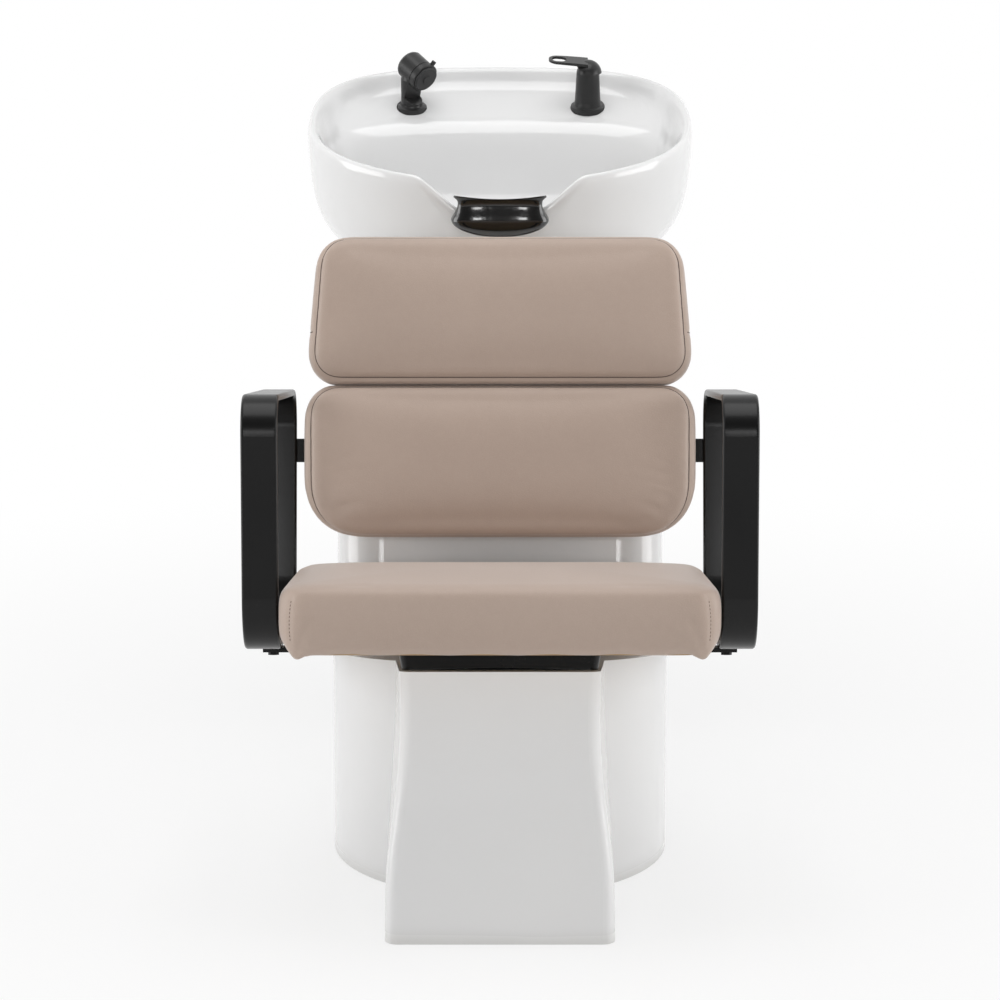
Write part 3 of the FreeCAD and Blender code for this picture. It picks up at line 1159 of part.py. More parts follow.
pin_hole = cylinder("barrel_pin_hole", "pivot_pin", "2 * %s" % pin_half, pin_place)
keep(cut("cartridge", barrel, [slot, pin_hole]))
keep(cylinder("lever_pin", "pivot_pin", "2 * %s" % pin_half, pin_place))


def lever_form():
    """Hood over the mixer's dome, arched lever with a finger loop, flat stem to the pivot."""
    inner = size("mixer_neck + hood_gap")
    outer = inner + size("hood_wall")
    reach = size("lever_reach")
    low, high = size("hood_low"), size("hood_high")
    wide = 2 * outer
    below = Part.Face(Part.makePolygon([
        Vector(-wide, -wide, high * 2 - low), Vector(wide, -wide, low - (high - low)),
        Vector(wide, -wide, -wide), Vector(-wide, -wide, -wide), Vector(-wide, -wide, high * 2 - low),
    ])).extrude(Vector(0, 2 * wide, 0))
    hood = Part.makeSphere(outer, Vector(), Vector(0, 1, 0)).cut(below)

    thick = size("lever_thick")
    rise = size("lever_rise")
    top = outer - size("lever_sink")
    upper = [Vector(0, -wide, top), Vector(-0.55 * reach, -wide, top + 0.65 * rise),
             Vector(-1.1 * reach, -wide, top + rise)]
    lower = [point - Vector(0, 0, thick) for point in upper]
    lower[2] = lower[2] + Vector(0, 0, thick / 3)
    side = Part.Wire([
        Part.Arc(*upper).toShape(), Part.LineSegment(upper[2], lower[2]).toShape(),
        Part.Arc(lower[2], lower[1], lower[0]).toShape(), Part.LineSegment(lower[0], upper[0]).toShape(),
    ])
    strip = Part.Face(side).extrude(Vector(0, 2 * wide, 0))
    root, tip = size("lever_root") / 2, size("lever_width") / 2
    plan = rounded_wire([Vector(0, -root, 0), Vector(0, root, 0),
                         Vector(-reach, tip, 0), Vector(-reach, -tip, 0)],
                        [0.1 * tip, 0.1 * tip, 0.95 * tip, 0.95 * tip])
    paddle = strip.common(Part.Face(plan).extrude(Vector(0, 0, 3 * outer)))
    loop_half, loop_side = size("loop_length") / 2, size("loop_width") / 2
    middle = -reach + size("(lever_width - loop_width) / 2") + loop_half
    corners = [Vector(middle + a * loop_half, b * loop_side, 0)
               for a, b in ((-1, -1), (1, -1), (1, 1), (-1, 1))]
    eye = Part.Face(rounded_wire(corners, [0.95 * loop_side] * 4)).extrude(Vector(0, 0, 3 * outer))
    form = hood.fuse(paddle).cut(eye).cut(Part.makeSphere(inner, Vector(), Vector(0, 1, 0)))
    stem = Part.makeBox(size("stem_length"), size("stem_width"), top,
                        Vector(-size("stem_length") / 2, -size("stem_width") / 2, 0))
    knee = Part.makeCylinder(size("stem_length") / 2, size("stem_width"),
                             Vector(0, -size("stem_width") / 2, 0), Vector(0, 1, 0))
    form = form.fuse(stem).fuse(knee)
    return form.cut(Part.makeCylinder(size("pivot_pin + pivot_run"), size("2 * stem_width"),
                                      Vector(0, -size("stem_width"), 0), Vector(0, 1, 0))).removeSplitter()


keep(shaped("mixer_lever", lever_form(), PIVOT))

# Hand shower in its holder: sleeve, nut, handset, selector ring, spray face
keep(turned("shower_holder", [
    ("holder_bore", "holder_rise"), ("holder_bore", "-sleeve_length"), ("sleeve_radius", "-sleeve_length"),
    ("sleeve_radius", "0"), ("holder_flange", "0"), ("holder_flange", "holder_flange_height * 0.8"),
    ("holder_radius + 1", "holder_flange_height"), ("holder_radius", "holder_rise"),
], HOLDER))
keep(turned("holder_nut", [
    ("sleeve_radius + fit_play", "-deck_thick"), ("sleeve_radius + nut_wall", "-deck_thick"),
    ("sleeve_radius + nut_wall", "-deck_thick - nut_height"),
    ("sleeve_radius + fit_play", "-deck_thick - nut_height"),
], HOLDER))
FACE = "(head_front + ring_length + 2 * ring_gap)"
handle = turned("handle_turning", [
    ("0", "head_level"), ("0", "-sleeve_length - ferrule_length"),
    ("ferrule_radius - ferrule_taper", "-sleeve_length - ferrule_length"),
    ("ferrule_radius", "-sleeve_length"),
    ("holder_bore - handset_run", "-sleeve_length + ferrule_taper"),
    ("holder_bore - handset_run", "holder_rise + handle_gap"), ("handle_radius", "holder_rise + handle_gap"),
    ("handle_radius", "head_level - head_radius / 2"), ("handle_radius - handle_taper", "head_level"),
], HOLDER)
drum = turned("head_turning", [
    ("0", "-head_back"), ("head_radius - head_round", "-head_back"),
    ("head_radius - head_round / 3", "-head_back + head_round / 3"),
    ("head_radius", "-head_back + head_round"), ("head_radius", "head_front"), ("core_radius", "head_front"),
    ("core_radius", FACE), ("0", FACE),
], HEAD)
front_half = cylinder("head_clear", "2 * head_radius", "3 * head_radius",
                      shift(HEAD, 0, 0, size("head_front")))
handle_cut = cut("handle_trimmed", handle, [front_half])
keep(union("handset", [handle_cut, drum]))


def ring_form():
    """Selector ring round the core, with its lug."""
    inner = size("core_radius + ring_run")
    outer = inner + size("ring_wall")
    base = Vector(0, 0, size("head_front + ring_gap"))
    length = size("ring_length")
    ring = Part.makeCylinder(outer, length, base)
    rims = [edge for edge in ring.Edges if edge.Length > outer and edge.BoundBox.ZLength < 1e-6]
    ring = ring.makeChamfer(size("ring_wall / 6"), rims)
    turn = math.radians(size("lug_turn"))
    out = Vector(math.sin(turn), math.cos(turn), 0)
    foot = base + out * (outer - size("lug_root")) + Vector(0, 0, length / 2)
    lug = Part.makeCylinder(size("lug_radius"), size("lug_height + lug_root"), foot, out)
    return ring.fuse(lug).cut(Part.makeCylinder(inner, length, base)).removeSplitter()


keep(shaped("selector_ring", ring_form(), HEAD))
keep(turned("spray_face", [
    ("0", FACE), ("face_radius", FACE), ("face_radius", "%s + face_thick * 0.6" % FACE),
    ("face_radius - face_thick / 2", "%s + face_thick" % FACE), ("0", "%s + face_thick" % FACE),
], HEAD))
keep(turned("spray_disc", [
    ("0", "%s + face_thick" % FACE), ("face_disc", "%s + face_thick" % FACE),
    ("face_disc - face_disc_height / 2", "%s + face_thick + face_disc_height" % FACE),
    ("0", "%s + face_thick + face_disc_height" % FACE),
], HEAD))

doc.recompute()
for thing in doc.Objects:
    if "Invalid" in thing.State or "Error" in thing.State:
        raise RuntimeError("%s: %s" % (thing.Label, thing.State))
os.makedirs("parts", exist_ok=True)
for thing in parts:
    if thing.Shape.isNull() or not thing.Shape.isValid() or not thing.Shape.Solids:
        raise RuntimeError("%s has no valid solid" % thing.Label)
    thing.Shape.exportStep("parts/%s.step" % thing.Label)
print("%d pieces written" % len(parts))
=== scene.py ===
# %% [markdown]
# # A backwash unit for a hair salon
# The client sits low between two black armrests and leans back until the neck lies in the notch
# of a white glazed basin. The solids of every piece come packed, in metres, already in place.
# This lesson gives them their looks: it sets up a small studio, mixes a finish for each material,
# and replaces the three plain upholstery solids by covers that are really blown up and sewn.

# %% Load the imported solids
import json
from math import radians

import bmesh
import bpy
import numpy as np
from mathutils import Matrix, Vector
from mathutils.bvhtree import BVHTree


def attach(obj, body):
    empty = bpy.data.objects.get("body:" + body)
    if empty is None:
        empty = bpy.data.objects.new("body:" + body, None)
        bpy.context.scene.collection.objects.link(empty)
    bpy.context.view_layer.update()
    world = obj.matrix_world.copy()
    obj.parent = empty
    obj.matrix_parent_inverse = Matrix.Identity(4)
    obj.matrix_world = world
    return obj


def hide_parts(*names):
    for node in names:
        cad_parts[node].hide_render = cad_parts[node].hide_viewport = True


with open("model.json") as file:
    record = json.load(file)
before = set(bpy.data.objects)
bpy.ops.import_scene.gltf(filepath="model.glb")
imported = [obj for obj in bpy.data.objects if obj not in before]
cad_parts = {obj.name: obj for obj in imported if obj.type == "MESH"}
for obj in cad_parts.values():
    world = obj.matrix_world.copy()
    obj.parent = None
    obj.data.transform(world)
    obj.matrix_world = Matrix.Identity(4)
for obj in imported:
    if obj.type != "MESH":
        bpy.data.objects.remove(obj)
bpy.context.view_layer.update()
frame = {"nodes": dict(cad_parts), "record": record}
nodes = frame["nodes"]
scene = bpy.context.scene
scene.view_settings.view_transform = "Standard"

# %% [markdown]
# ## The camera
# The unit is seen from the front and a little from above, through a long lens, so that the seat
# in front and the basin behind it keep nearly the same scale. A long lens far away gives that
# calm view; a short lens close by would make the seat swell.

# %% Set up the camera
LOOK_DOWN = 14
lens = bpy.data.cameras.new("studio_camera")
lens.sensor_width = 36
lens.lens = 140.4
camera = bpy.data.objects.new("studio_camera", lens)
camera.location = (0, -5.18, 1.75)
camera.rotation_euler = (radians(90 - LOOK_DOWN), 0, 0)
scene.collection.objects.link(camera)
scene.camera = camera
print("camera looks down by", LOOK_DOWN, "degrees")

# %% [markdown]
# ## Arithmetic for shaders
# A finish is a small calculation: this much grain, plus a share of that noise. Clicking the
# Math nodes together one by one hides the calculation, so one class lets Python's own operators
# add them, and another class holds the node tree and has a single method for every other node.

# %% Wrap sockets and node trees
class Field:
    """A value that varies over a surface: an output socket with arithmetic that adds Math nodes."""

    def __init__(self, paint, socket):
        self.paint = paint
        self.socket = socket

    def math(self, operation, *values):
        return self.paint.node("Math", {"operation": operation}, dict(enumerate(values)))

    def __add__(self, other):
        return self.math("ADD", self, other)

    def __sub__(self, other):
        return self.math("SUBTRACT", self, other)

    def __rsub__(self, other):
        return self.math("SUBTRACT", other, self)

    def __mul__(self, other):
        return self.math("MULTIPLY", self, other)

    __radd__ = __add__
    __rmul__ = __mul__


class Paint:
    """The node tree of one finish, or of the studio's sky."""

    def __init__(self, owner):
        owner.use_nodes = True
        self.owner = owner
        self.tree = owner.node_tree

    def feed(self, socket, value):
        if isinstance(value, Field):
            self.tree.links.new(value.socket, socket)
        else:
            socket.default_value = value

    def node(self, kind, settings, sockets, output=0):
        """Adds a node, sets it up, feeds its sockets and returns one of its outputs."""
        made = self.tree.nodes.new("ShaderNode" + kind)
        for name, setting in settings.items():
            setattr(made, name, setting)
        for key, value in sockets.items():
            self.feed(made.inputs[key], value)
        return Field(self, made.outputs[output])

    def mix(self, low, high, share):
        """A colour on the way from low to high."""
        return self.node("Mix", {"data_type": "RGBA"}, {0: share, 6: low, 7: high}, 2)

    def ramp(self, value, low, high):
        """0 below low, 1 above high, and a smooth step between."""
        return self.node("MapRange", {"interpolation_type": "SMOOTHSTEP"},
                         {"Value": value, "From Min": low, "From Max": high})

    def noise(self, place, scale, detail):
        return self.node("TexNoise", {}, {"Vector": place, "Scale": scale, "Detail": detail})

    def bump(self, height, strength, depth):
        return self.node("Bump", {}, {"Height": height, "Strength": strength, "Distance": depth})


print("shader classes:", Field.__name__, Paint.__name__)

# %% [markdown]
# ## Floor and light
# The photographer's studio is a white sweep with a large soft lamp overhead, one at each side
# and two smaller ones beside the camera, which leave the pair of small highlights on the neck
# rest. The floor is white wherever a camera or a mirror looks at it, apart from a share that stays
# a real surface, so that the shadow under the unit is kept. The sky is dim behind the camera:
# black pieces that face it have little to mirror and stay black.

# %% Lay the floor
def studio_rays(paint):
    """1 for rays that look at the studio itself, directly, in a mirror or through glass."""
    kinds = ("Camera", "Glossy", "Transmission")
    direct, glossy, through = [paint.node("LightPath", {}, {}, "Is %s Ray" % kind) for kind in kinds]
    return direct.math("MAXIMUM", direct.math("MAXIMUM", direct, glossy), through)


FLOOR_REACH = 20
FLOOR_LEVEL = -0.001
FLOOR_WHITE = 0.72
floor_mesh = bpy.data.meshes.new("studio_floor")
floor_corners = [(-1, -1), (1, -1), (1, 1), (-1, 1)]
floor_mesh.from_pydata([(FLOOR_REACH * x, FLOOR_REACH * y, FLOOR_LEVEL) for x, y in floor_corners], [],
                       [(0, 1, 2, 3)])
floor = bpy.data.objects.new("studio_floor", floor_mesh)
scene.collection.objects.link(floor)
sweep_paint = Paint(bpy.data.materials.new("studio_sweep"))
spot = sweep_paint.node("TexCoord", {}, {}, "Object")
away = sweep_paint.ramp(sweep_paint.node("VectorMath", {"operation": "LENGTH"}, {0: spot}, "Value"), 0.6, 2.0)
matt = sweep_paint.node("BsdfDiffuse", {}, {"Color": (0.86, 0.86, 0.86, 1)})
bright = sweep_paint.node("Emission", {}, {"Color": (1, 1, 1, 1), "Strength": 1})
white = studio_rays(sweep_paint) * (FLOOR_WHITE + (1 - FLOOR_WHITE) * away)
sweep = sweep_paint.node("MixShader", {}, {0: white, 1: matt, 2: bright})
sweep_paint.feed(sweep_paint.tree.nodes["Material Output"].inputs["Surface"], sweep)
floor_mesh.materials.append(sweep_paint.owner)
print("floor:", floor.name)

# %% Light the studio
DARK_SIDE = 0.12
scene.world = bpy.data.worlds.new("studio_sky")
sky_paint = Paint(scene.world)
rearward = sky_paint.node("SeparateXYZ", {}, {0: sky_paint.node("TexCoord", {}, {}, "Generated")}, "Y")
room = DARK_SIDE + (1 - DARK_SIDE) * sky_paint.ramp(rearward, -0.85, 0.05)
seen = sky_paint.node("LightPath", {}, {}, "Is Camera Ray")
mirrored = studio_rays(sky_paint) - seen
sky_paint.feed(sky_paint.tree.nodes["Background"].inputs["Strength"],
               seen + mirrored * room + (1 - seen - mirrored) * (0.2 + 0.36 * room))
sky_paint.tree.nodes["Background"].inputs["Color"].default_value = (1, 1, 1, 1)

# Where each lamp hangs and looks, its width in metres and its power in watts
lamps = {
    "overhead": ((0, -0.5, 3.5), (0, 0, 0.4), 2.4, 43),
    "left": ((-2.7, -0.4, 0.9), (0, 0.1, 0.5), 1.6, 25),
    "right": ((2.7, -0.4, 0.9), (0, 0.1, 0.5), 1.6, 25),
    "front_left": ((-0.8, -4.0, 1.5), (0, 0, 0.6), 0.6, 12),
    "front_right": ((0.8, -4.0, 1.5), (0, 0, 0.6), 0.6, 12),
}
for name, (place, aim, width, power) in lamps.items():
    lamp = bpy.data.lights.new("lamp_" + name, "AREA")
    lamp.size = width
    lamp.energy = power
    stand = bpy.data.objects.new("lamp_" + name, lamp)
    stand.location = place
    stand.rotation_euler = (Vector(aim) - Vector(place)).to_track_quat("-Z", "Y").to_euler()
    scene.collection.objects.link(stand)
print("lamps:", ", ".join(lamps))

# %% [markdown]
# ## Finishes
# Every finish reads the object's own coordinates in metres, so a scale of 900 is a grain of
# about a millimetre wherever the piece sits. What varies is kept small, because these are new
# pieces: a drift in tone, a breath of roughness, and a bump that breaks up the highlights.

# %% Make a finish
finishes = {}


def finish(slot, fixed):
    """A material for one of the record's slots, with the sockets that are the same all over."""
    paint = Paint(bpy.data.materials.new(slot))
    shader = paint.tree.nodes["Principled BSDF"]
    for socket, value in fixed.items():
        shader.inputs[socket].default_value = value
    finishes[slot] = paint.owner
    place = paint.node("TexCoord", {}, {}, "Object")
    return paint, shader, place


def cover(paint, shader, varying):
    """Feeds the sockets that vary over the surface."""
    for socket, value in varying.items():
        paint.feed(shader.inputs[socket], value)
    print("finish:", paint.owner.name)


# %% [markdown]
# ### Leatherette
# The covers are taupe leatherette: a fabric with an embossed plastic skin. Its pebble grain is a
# cell pattern, because embossing rolls copy hide, and the tone drifts a little where the skin is
# stretched. A real hide would show veins and scars, which leatherette doesn't have.

# %% Mix the leatherette
paint, shader, place = finish("leatherette", {"Specular IOR Level": 0.38, "Sheen Weight": 0.28})
pebble = paint.node("TexVoronoi", {"feature": "SMOOTH_F1"},
                    {"Vector": place, "Scale": 720, "Smoothness": 0.6})
pores = paint.noise(place, 2600, 2)
drift = paint.noise(place, 7, 3)
mottle = paint.noise(place, 95, 4)
tone = drift * 0.6 + mottle * 0.25 + pebble * 0.3
cover(paint, shader, {
    "Base Color": paint.mix((0.405, 0.311, 0.254, 1), (0.5, 0.391, 0.327, 1), tone),
    "Roughness": 0.4 + 0.12 * pebble + 0.08 * drift,
    "Normal": paint.bump(pebble + 0.25 * pores, 0.28, 0.0005),
})

# %% [markdown]
# ### Glaze and moulding
# The basin is fired ceramic under a thick clear glaze, so its body is a little matt and its coat
# is as smooth as glass, with the faint ripple of a glaze that has run. The stand is moulded and
# gel coated: nearly as glossy, but flatter and with a fine orange peel.

# %% Mix the two whites
paint, shader, place = finish("glaze", {"Specular IOR Level": 0.5, "Coat Weight": 0.6,
                                        "Coat Roughness": 0.03})
run = paint.noise(place, 16, 2)
cloud = paint.noise(place, 5, 3)
cover(paint, shader, {
    "Base Color": paint.mix((0.8, 0.802, 0.805, 1), (0.84, 0.838, 0.833, 1), cloud),
    "Roughness": 0.1 + 0.08 * cloud,
    "Normal": paint.bump(run, 0.12, 0.002),
})

paint, shader, place = finish("white_moulding", {"Specular IOR Level": 0.5, "Coat Weight": 0.35,
                                                 "Coat Roughness": 0.08})
peel = paint.noise(place, 260, 2)
cloud = paint.noise(place, 4, 3)
# Painted shade: up to about 35 mm above the floor the moulding is coloured darker grey, where shade falls at
# the floor line; the same band is also made rougher
painted_shade_and_rough_band = paint.ramp(paint.node("SeparateXYZ", {}, {0: place}, "Z") + 0.02 * cloud, 0.035, 0.0)
cover(paint, shader, {
    "Base Color": paint.mix(paint.mix((0.82, 0.822, 0.825, 1), (0.86, 0.858, 0.853, 1), cloud),
                            (0.72, 0.715, 0.7, 1), painted_shade_and_rough_band),
    "Roughness": 0.16 + 0.08 * cloud + 0.2 * painted_shade_and_rough_band,
    "Normal": paint.bump(peel, 0.05, 0.0004),
})

# %% [markdown]
# ### Blacks
# Four blacks lie close together in the picture and differ only in how they shine. The armrests
# and irons are satin paint, the taps are a finer matt paint, the spray face is moulded plastic,
# and the neck rest is a soft gel that is glossy like wet rubber.

# %% Mix the blacks
paint, shader, place = finish("black_steel", {"Specular IOR Level": 0.24})
peel = paint.noise(place, 420, 3)
cloud = paint.noise(place, 8, 3)
cover(paint, shader, {
    "Base Color": paint.mix((0.004, 0.004, 0.0043, 1), (0.008, 0.0079, 0.0077, 1), cloud),
    "Roughness": 0.19 + 0.08 * cloud + 0.05 * peel,
    "Normal": paint.bump(peel, 0.08, 0.0003),
})

paint, shader, place = finish("black_tap", {"Specular IOR Level": 0.42})
fine = paint.noise(place, 1500, 2)
cloud = paint.noise(place, 14, 3)
cover(paint, shader, {
    "Base Color": paint.mix((0.012, 0.012, 0.0125, 1), (0.021, 0.0208, 0.0205, 1), cloud),
    "Roughness": 0.3 + 0.08 * fine,
    "Normal": paint.bump(fine, 0.1, 0.0002),
})

paint, shader, place = finish("spray_plastic", {"Specular IOR Level": 0.4})
fine = paint.noise(place, 900, 3)
cover(paint, shader, {
    "Base Color": paint.mix((0.02, 0.02, 0.021, 1), (0.034, 0.034, 0.034, 1), fine),
    "Roughness": 0.48 + 0.12 * fine,
    "Normal": paint.bump(fine, 0.12, 0.0002),
})

paint, shader, place = finish("gel", {"Specular IOR Level": 0.5, "Coat Weight": 0.7,
                                      "Coat Roughness": 0.06})
skin = paint.noise(place, 60, 3)
cover(paint, shader, {
    "Base Color": paint.mix((0.004, 0.004, 0.004, 1), (0.008, 0.008, 0.008, 1), skin),
    "Roughness": 0.11 + 0.08 * skin,
    "Normal": paint.bump(skin, 0.2, 0.0016),
})

paint, shader, place = finish("rubber_mat", {"Specular IOR Level": 0.3})
crumb = paint.noise(place, 1200, 3)
cover(paint, shader, {
    "Base Color": paint.mix((0.016, 0.016, 0.016, 1), (0.035, 0.034, 0.033, 1), crumb),
    "Roughness": 0.75 + 0.15 * crumb,
    "Normal": paint.bump(crumb, 0.3, 0.0003),
})

# %% [markdown]
# ### What the unit is fastened with
# Few of these show, but the hatch at the back and the space under the bowl are looked into:
# primed steel irons, zinc-plated screws with the faint rainbow of their passivation, a brass
# nut, a polished waste, nylon bushes and the plywood under the covers.

# %% Mix the hidden metals and the wood
paint, shader, place = finish("grey_steel", {"Specular IOR Level": 0.4})
peel = paint.noise(place, 300, 3)
cloud = paint.noise(place, 9, 4)
cover(paint, shader, {
    "Base Color": paint.mix((0.16, 0.162, 0.165, 1), (0.23, 0.228, 0.223, 1), cloud),
    "Roughness": 0.5 + 0.15 * peel,
    "Normal": paint.bump(peel, 0.12, 0.0003),
})

paint, shader, place = finish("zinc", {"Metallic": 1.0})
patch = paint.noise(place, 160, 3)
cover(paint, shader, {
    "Base Color": paint.mix((0.56, 0.57, 0.6, 1), (0.68, 0.66, 0.6, 1), patch),
    "Roughness": 0.26 + 0.16 * patch,
    "Normal": paint.bump(patch, 0.08, 0.0002),
})

paint, shader, place = finish("brass_nut", {"Metallic": 1.0})
patch = paint.noise(place, 120, 3)
cover(paint, shader, {
    "Base Color": paint.mix((0.66, 0.5, 0.22, 1), (0.74, 0.6, 0.32, 1), patch),
    "Roughness": 0.24 + 0.16 * patch,
    "Normal": paint.bump(patch, 0.06, 0.0002),
})

paint, shader, place = finish("bright_waste", {"Metallic": 1.0})
smear = paint.noise(place, 70, 4)
cover(paint, shader, {
    "Base Color": paint.mix((0.74, 0.75, 0.76, 1), (0.82, 0.82, 0.82, 1), smear),
    "Roughness": 0.08 + 0.12 * smear,
    "Normal": paint.bump(smear, 0.03, 0.0002),
})

paint, shader, place = finish("bush_nylon", {"Specular IOR Level": 0.4})
fine = paint.noise(place, 500, 3)
cover(paint, shader, {
    "Base Color": paint.mix((0.22, 0.22, 0.215, 1), (0.29, 0.288, 0.28, 1), fine),
    "Roughness": 0.5 + 0.1 * fine,
    "Normal": paint.bump(fine, 0.08, 0.0002),
})

paint, shader, place = finish("plywood", {"Specular IOR Level": 0.3})
along = paint.node("Mapping", {}, {"Vector": place, "Scale": (9, 90, 90)})
vein = paint.noise(along, 4, 5)
fibre = paint.noise(place, 700, 2)
cover(paint, shader, {
    "Base Color": paint.mix((0.36, 0.235, 0.13, 1), (0.6, 0.45, 0.29, 1), vein * 0.8 + fibre * 0.25),
    "Roughness": 0.62 + 0.15 * fibre,
    "Normal": paint.bump(vein + 0.3 * fibre, 0.25, 0.0004),
})

# %% Dress the solids
for row in frame["record"]["subparts"]:
    piece = nodes[row["node"]]
    piece.data.materials.clear()
    piece.data.materials.append(finishes[row["material_slot"]])

# %% [markdown]
# ## Upholstery
# Each pad is foam on a board inside a sewn cover. The cover is cut a little small, so it stands
# under tension: it is held along its seams and on the board, and swells between them. Modelling
# that by hand gives a pillow that looks inflated everywhere; letting a cloth with pressure inside
# find its own shape puts the fullness where it belongs. So each solid is copied, rebuilt as an
# even skin, filled with foam, blown up with its seams held, and only then sewn.

# %% Read and place points
def points_of(mesh):
    """All corners of a mesh, one row each."""
    flat = np.empty(3 * len(mesh.vertices), np.float32)
    mesh.vertices.foreach_get("co", flat)
    return flat.reshape(-1, 3).astype(float)


def outward_of(mesh):
    """The direction away from the surface at each corner of a mesh."""
    flat = np.empty(3 * len(mesh.vertices), np.float32)
    mesh.vertex_normals.foreach_get("vector", flat)
    return flat.reshape(-1, 3).astype(float)


def place_points(mesh, points):
    mesh.vertices.foreach_set("co", points.astype(np.float32).ravel())
    mesh.update()


def settle(piece):
    """Replaces a piece's mesh by what its modifiers make of it, and takes them off."""
    seen = piece.evaluated_get(bpy.context.evaluated_depsgraph_get())
    mesh = bpy.data.meshes.new_from_object(seen)
    piece.modifiers.clear()
    piece.data = mesh
    return mesh


def gap_to(points, path):
    """Distance from each point to the nearest point of a path."""
    parts = np.array_split(points, 60)
    return np.concatenate([np.linalg.norm(part[:, None] - path[None], axis=2).min(axis=1) for part in parts])


def leaning(origin, lean):
    """A frame that leans back about the left-right axis: where it sits, and its three directions."""
    turn = radians(lean)
    rows = np.array([(1, 0, 0), (0, np.cos(turn), -np.sin(turn)), (0, np.sin(turn), np.cos(turn))])
    return np.array(origin), rows


SEAT_LEAN, BACK_LEAN = 11.5, 16
seat_place = leaning((0, -0.5, 0.385), SEAT_LEAN)
back_foot = np.array((0, 0.397, 0.128))
back_place = leaning(back_foot @ seat_place[1] + seat_place[0], BACK_LEAN)
print("backrest foot:", back_place[0].round(4))

# %% [markdown]
# ### Where the seams run
# Each back pad has a front panel sewn to a border strip, so its seam is a closed outline with
# round corners, a little inside the pad's silhouette. The upper pad's strip is joined at each
# side. The seat cover is one piece that is folded round the corners, with a short stitched dart
# up each of them.

# %% Draw the seams
def rounded_line(corners, radii, step, closed):
    """Straight runs joined by arcs that touch both neighbours, in points an equal step apart."""
    corners = np.array(corners, float)
    runs = []
    for before, corner, after, radius in zip(np.roll(corners, 1, 0), corners, np.roll(corners, -1, 0), radii):
        one = (before - corner) / np.linalg.norm(before - corner)
        two = (after - corner) / np.linalg.norm(after - corner)
        half = np.arccos(one @ two) / 2
        turn = np.pi - 2 * half
        centre = corner + (one + two) / np.linalg.norm(one + two) * radius / np.sin(half)
        start = corner + one * radius / np.tan(half) - centre
        stop = corner + two * radius / np.tan(half) - centre
        share = np.linspace(0, 1, 13)[:, None]
        arc = centre + (start * np.sin((1 - share) * turn) + stop * np.sin(share * turn)) / np.sin(turn)
        runs.append(arc if radius > 0 else corner[None])
    line = np.concatenate(runs + [runs[0][:1]] if closed else runs)
    length = np.append(0, np.cumsum(np.linalg.norm(np.diff(line, axis=0), axis=1)))
    even = np.linspace(0, length[-1], int(length[-1] / step) + 1)
    return np.stack([np.interp(even, length, line[:, axis]) for axis in (0, 1)], axis=1)


SEAM_STEP = 0.0025


def back_seam(foot, top, half_foot, half_top, foot_corner, top_corner, draws, depths):
    """The seam round a back pad's front panel. It is drawn in from the outline at the foot, at the lower
    and upper end of the sides and at the top, and lies back at the foot, the sides and the top."""
    low, beside, above, high = draws
    corners = [(-half_foot + beside, foot + low), (half_foot - beside, foot + low),
               (half_top - above, top - high), (-half_top + above, top - high)]
    radii = [foot_corner - beside] * 2 + [top_corner - above] * 2
    line = rounded_line(corners, radii, SEAM_STEP, True)
    run = np.gradient(line, axis=0)
    across, up = (run / np.linalg.norm(run, axis=1, keepdims=True)).T
    parts = np.stack([across.clip(0, None) ** 2, up ** 2, across.clip(None, 0) ** 2], axis=1)
    inside = np.stack([line[:, 0], parts @ np.array(depths), line[:, 1]], axis=1)
    return inside @ back_place[1] + back_place[0]


def strip_joint(side):
    """The joint of the upper pad's border strip: straight back from the front seam, low on each side."""
    depth = np.linspace(0.001, 0.043, 18)
    across = np.full_like(depth, 0.259 * side)
    level = np.full_like(depth, 0.275)
    return np.stack([across, depth, level], axis=1) @ back_place[1] + back_place[0]


def seat_dart(side, end):
    """The dart at a corner of the seat: up the rounded corner from the board to the top's roll."""
    height = np.linspace(0.012, 0.074, 26)
    across = np.full_like(height, 0.263 * side)
    lean = 0.004 * np.cos(np.pi * height / 0.08)
    along = -0.03 + lean if end < 0 else 0.434 - lean
    return np.stack([across, along, height], axis=1) @ seat_place[1] + seat_place[0]


PADS_MEET = 0.203
seams = {
    "lower_back_cushion": [back_seam(0, PADS_MEET, 0.262, 0.262, 0.068, 0.042,
                                     draws=(0, 0.0064, 0.004, 0.001), depths=(0.016, 0.001, 0.007))],
    "upper_back_cushion": [back_seam(PADS_MEET + 0.0015, 0.4055, 0.261, 0.244, 0.04, 0.04,
                                     draws=(0.0085, 0.0072, 0.001, 0), depths=(0.001, 0.001, 0.008)),
                           strip_joint(-1), strip_joint(1)],
    "seat_cushion": [seat_dart(side, end) for side in (-1, 1) for end in (-1, 1)],
}
print("seam points:", {name: sum(map(len, lines)) for name, lines in seams.items()})

# %% Copy the pads as even skins
def even_skin(name, grain):
    """A closed skin round a solid: its triangles merged, then rebuilt on a grid of small cubes."""
    shell = bmesh.new()
    shell.from_mesh(nodes[name].data)
    bmesh.ops.remove_doubles(shell, verts=shell.verts, dist=1e-5)
    mesh = bpy.data.meshes.new(name + "_copy")
    shell.to_mesh(mesh)
    shell.free()
    piece = bpy.data.objects.new(name.replace("cushion", "cover"), mesh)
    scene.collection.objects.link(piece)
    grid = piece.modifiers.new("grid", "REMESH")
    grid.mode = "VOXEL"
    grid.voxel_size = grain
    settle(piece)
    return piece


grain = {"seat_cushion": 0.006, "lower_back_cushion": 0.005, "upper_back_cushion": 0.005}
covers = {name: even_skin(name, grain[name]) for name in seams}
print("skin corners:", {name: len(piece.data.vertices) for name, piece in covers.items()})

# %% Fill the covers
SEAT_THICK, PAD_THICK = 0.085, 0.048
SEAT_BOARD, PAD_BOARD = 0.02, 0.04
SEAT_FULLNESS, PAD_FULLNESS = 0.005, 0.0036


def inside_frame(points, place):
    """Points given in a leaning frame: across, along or deep, and up."""
    return (points - place[0]) @ place[1].T


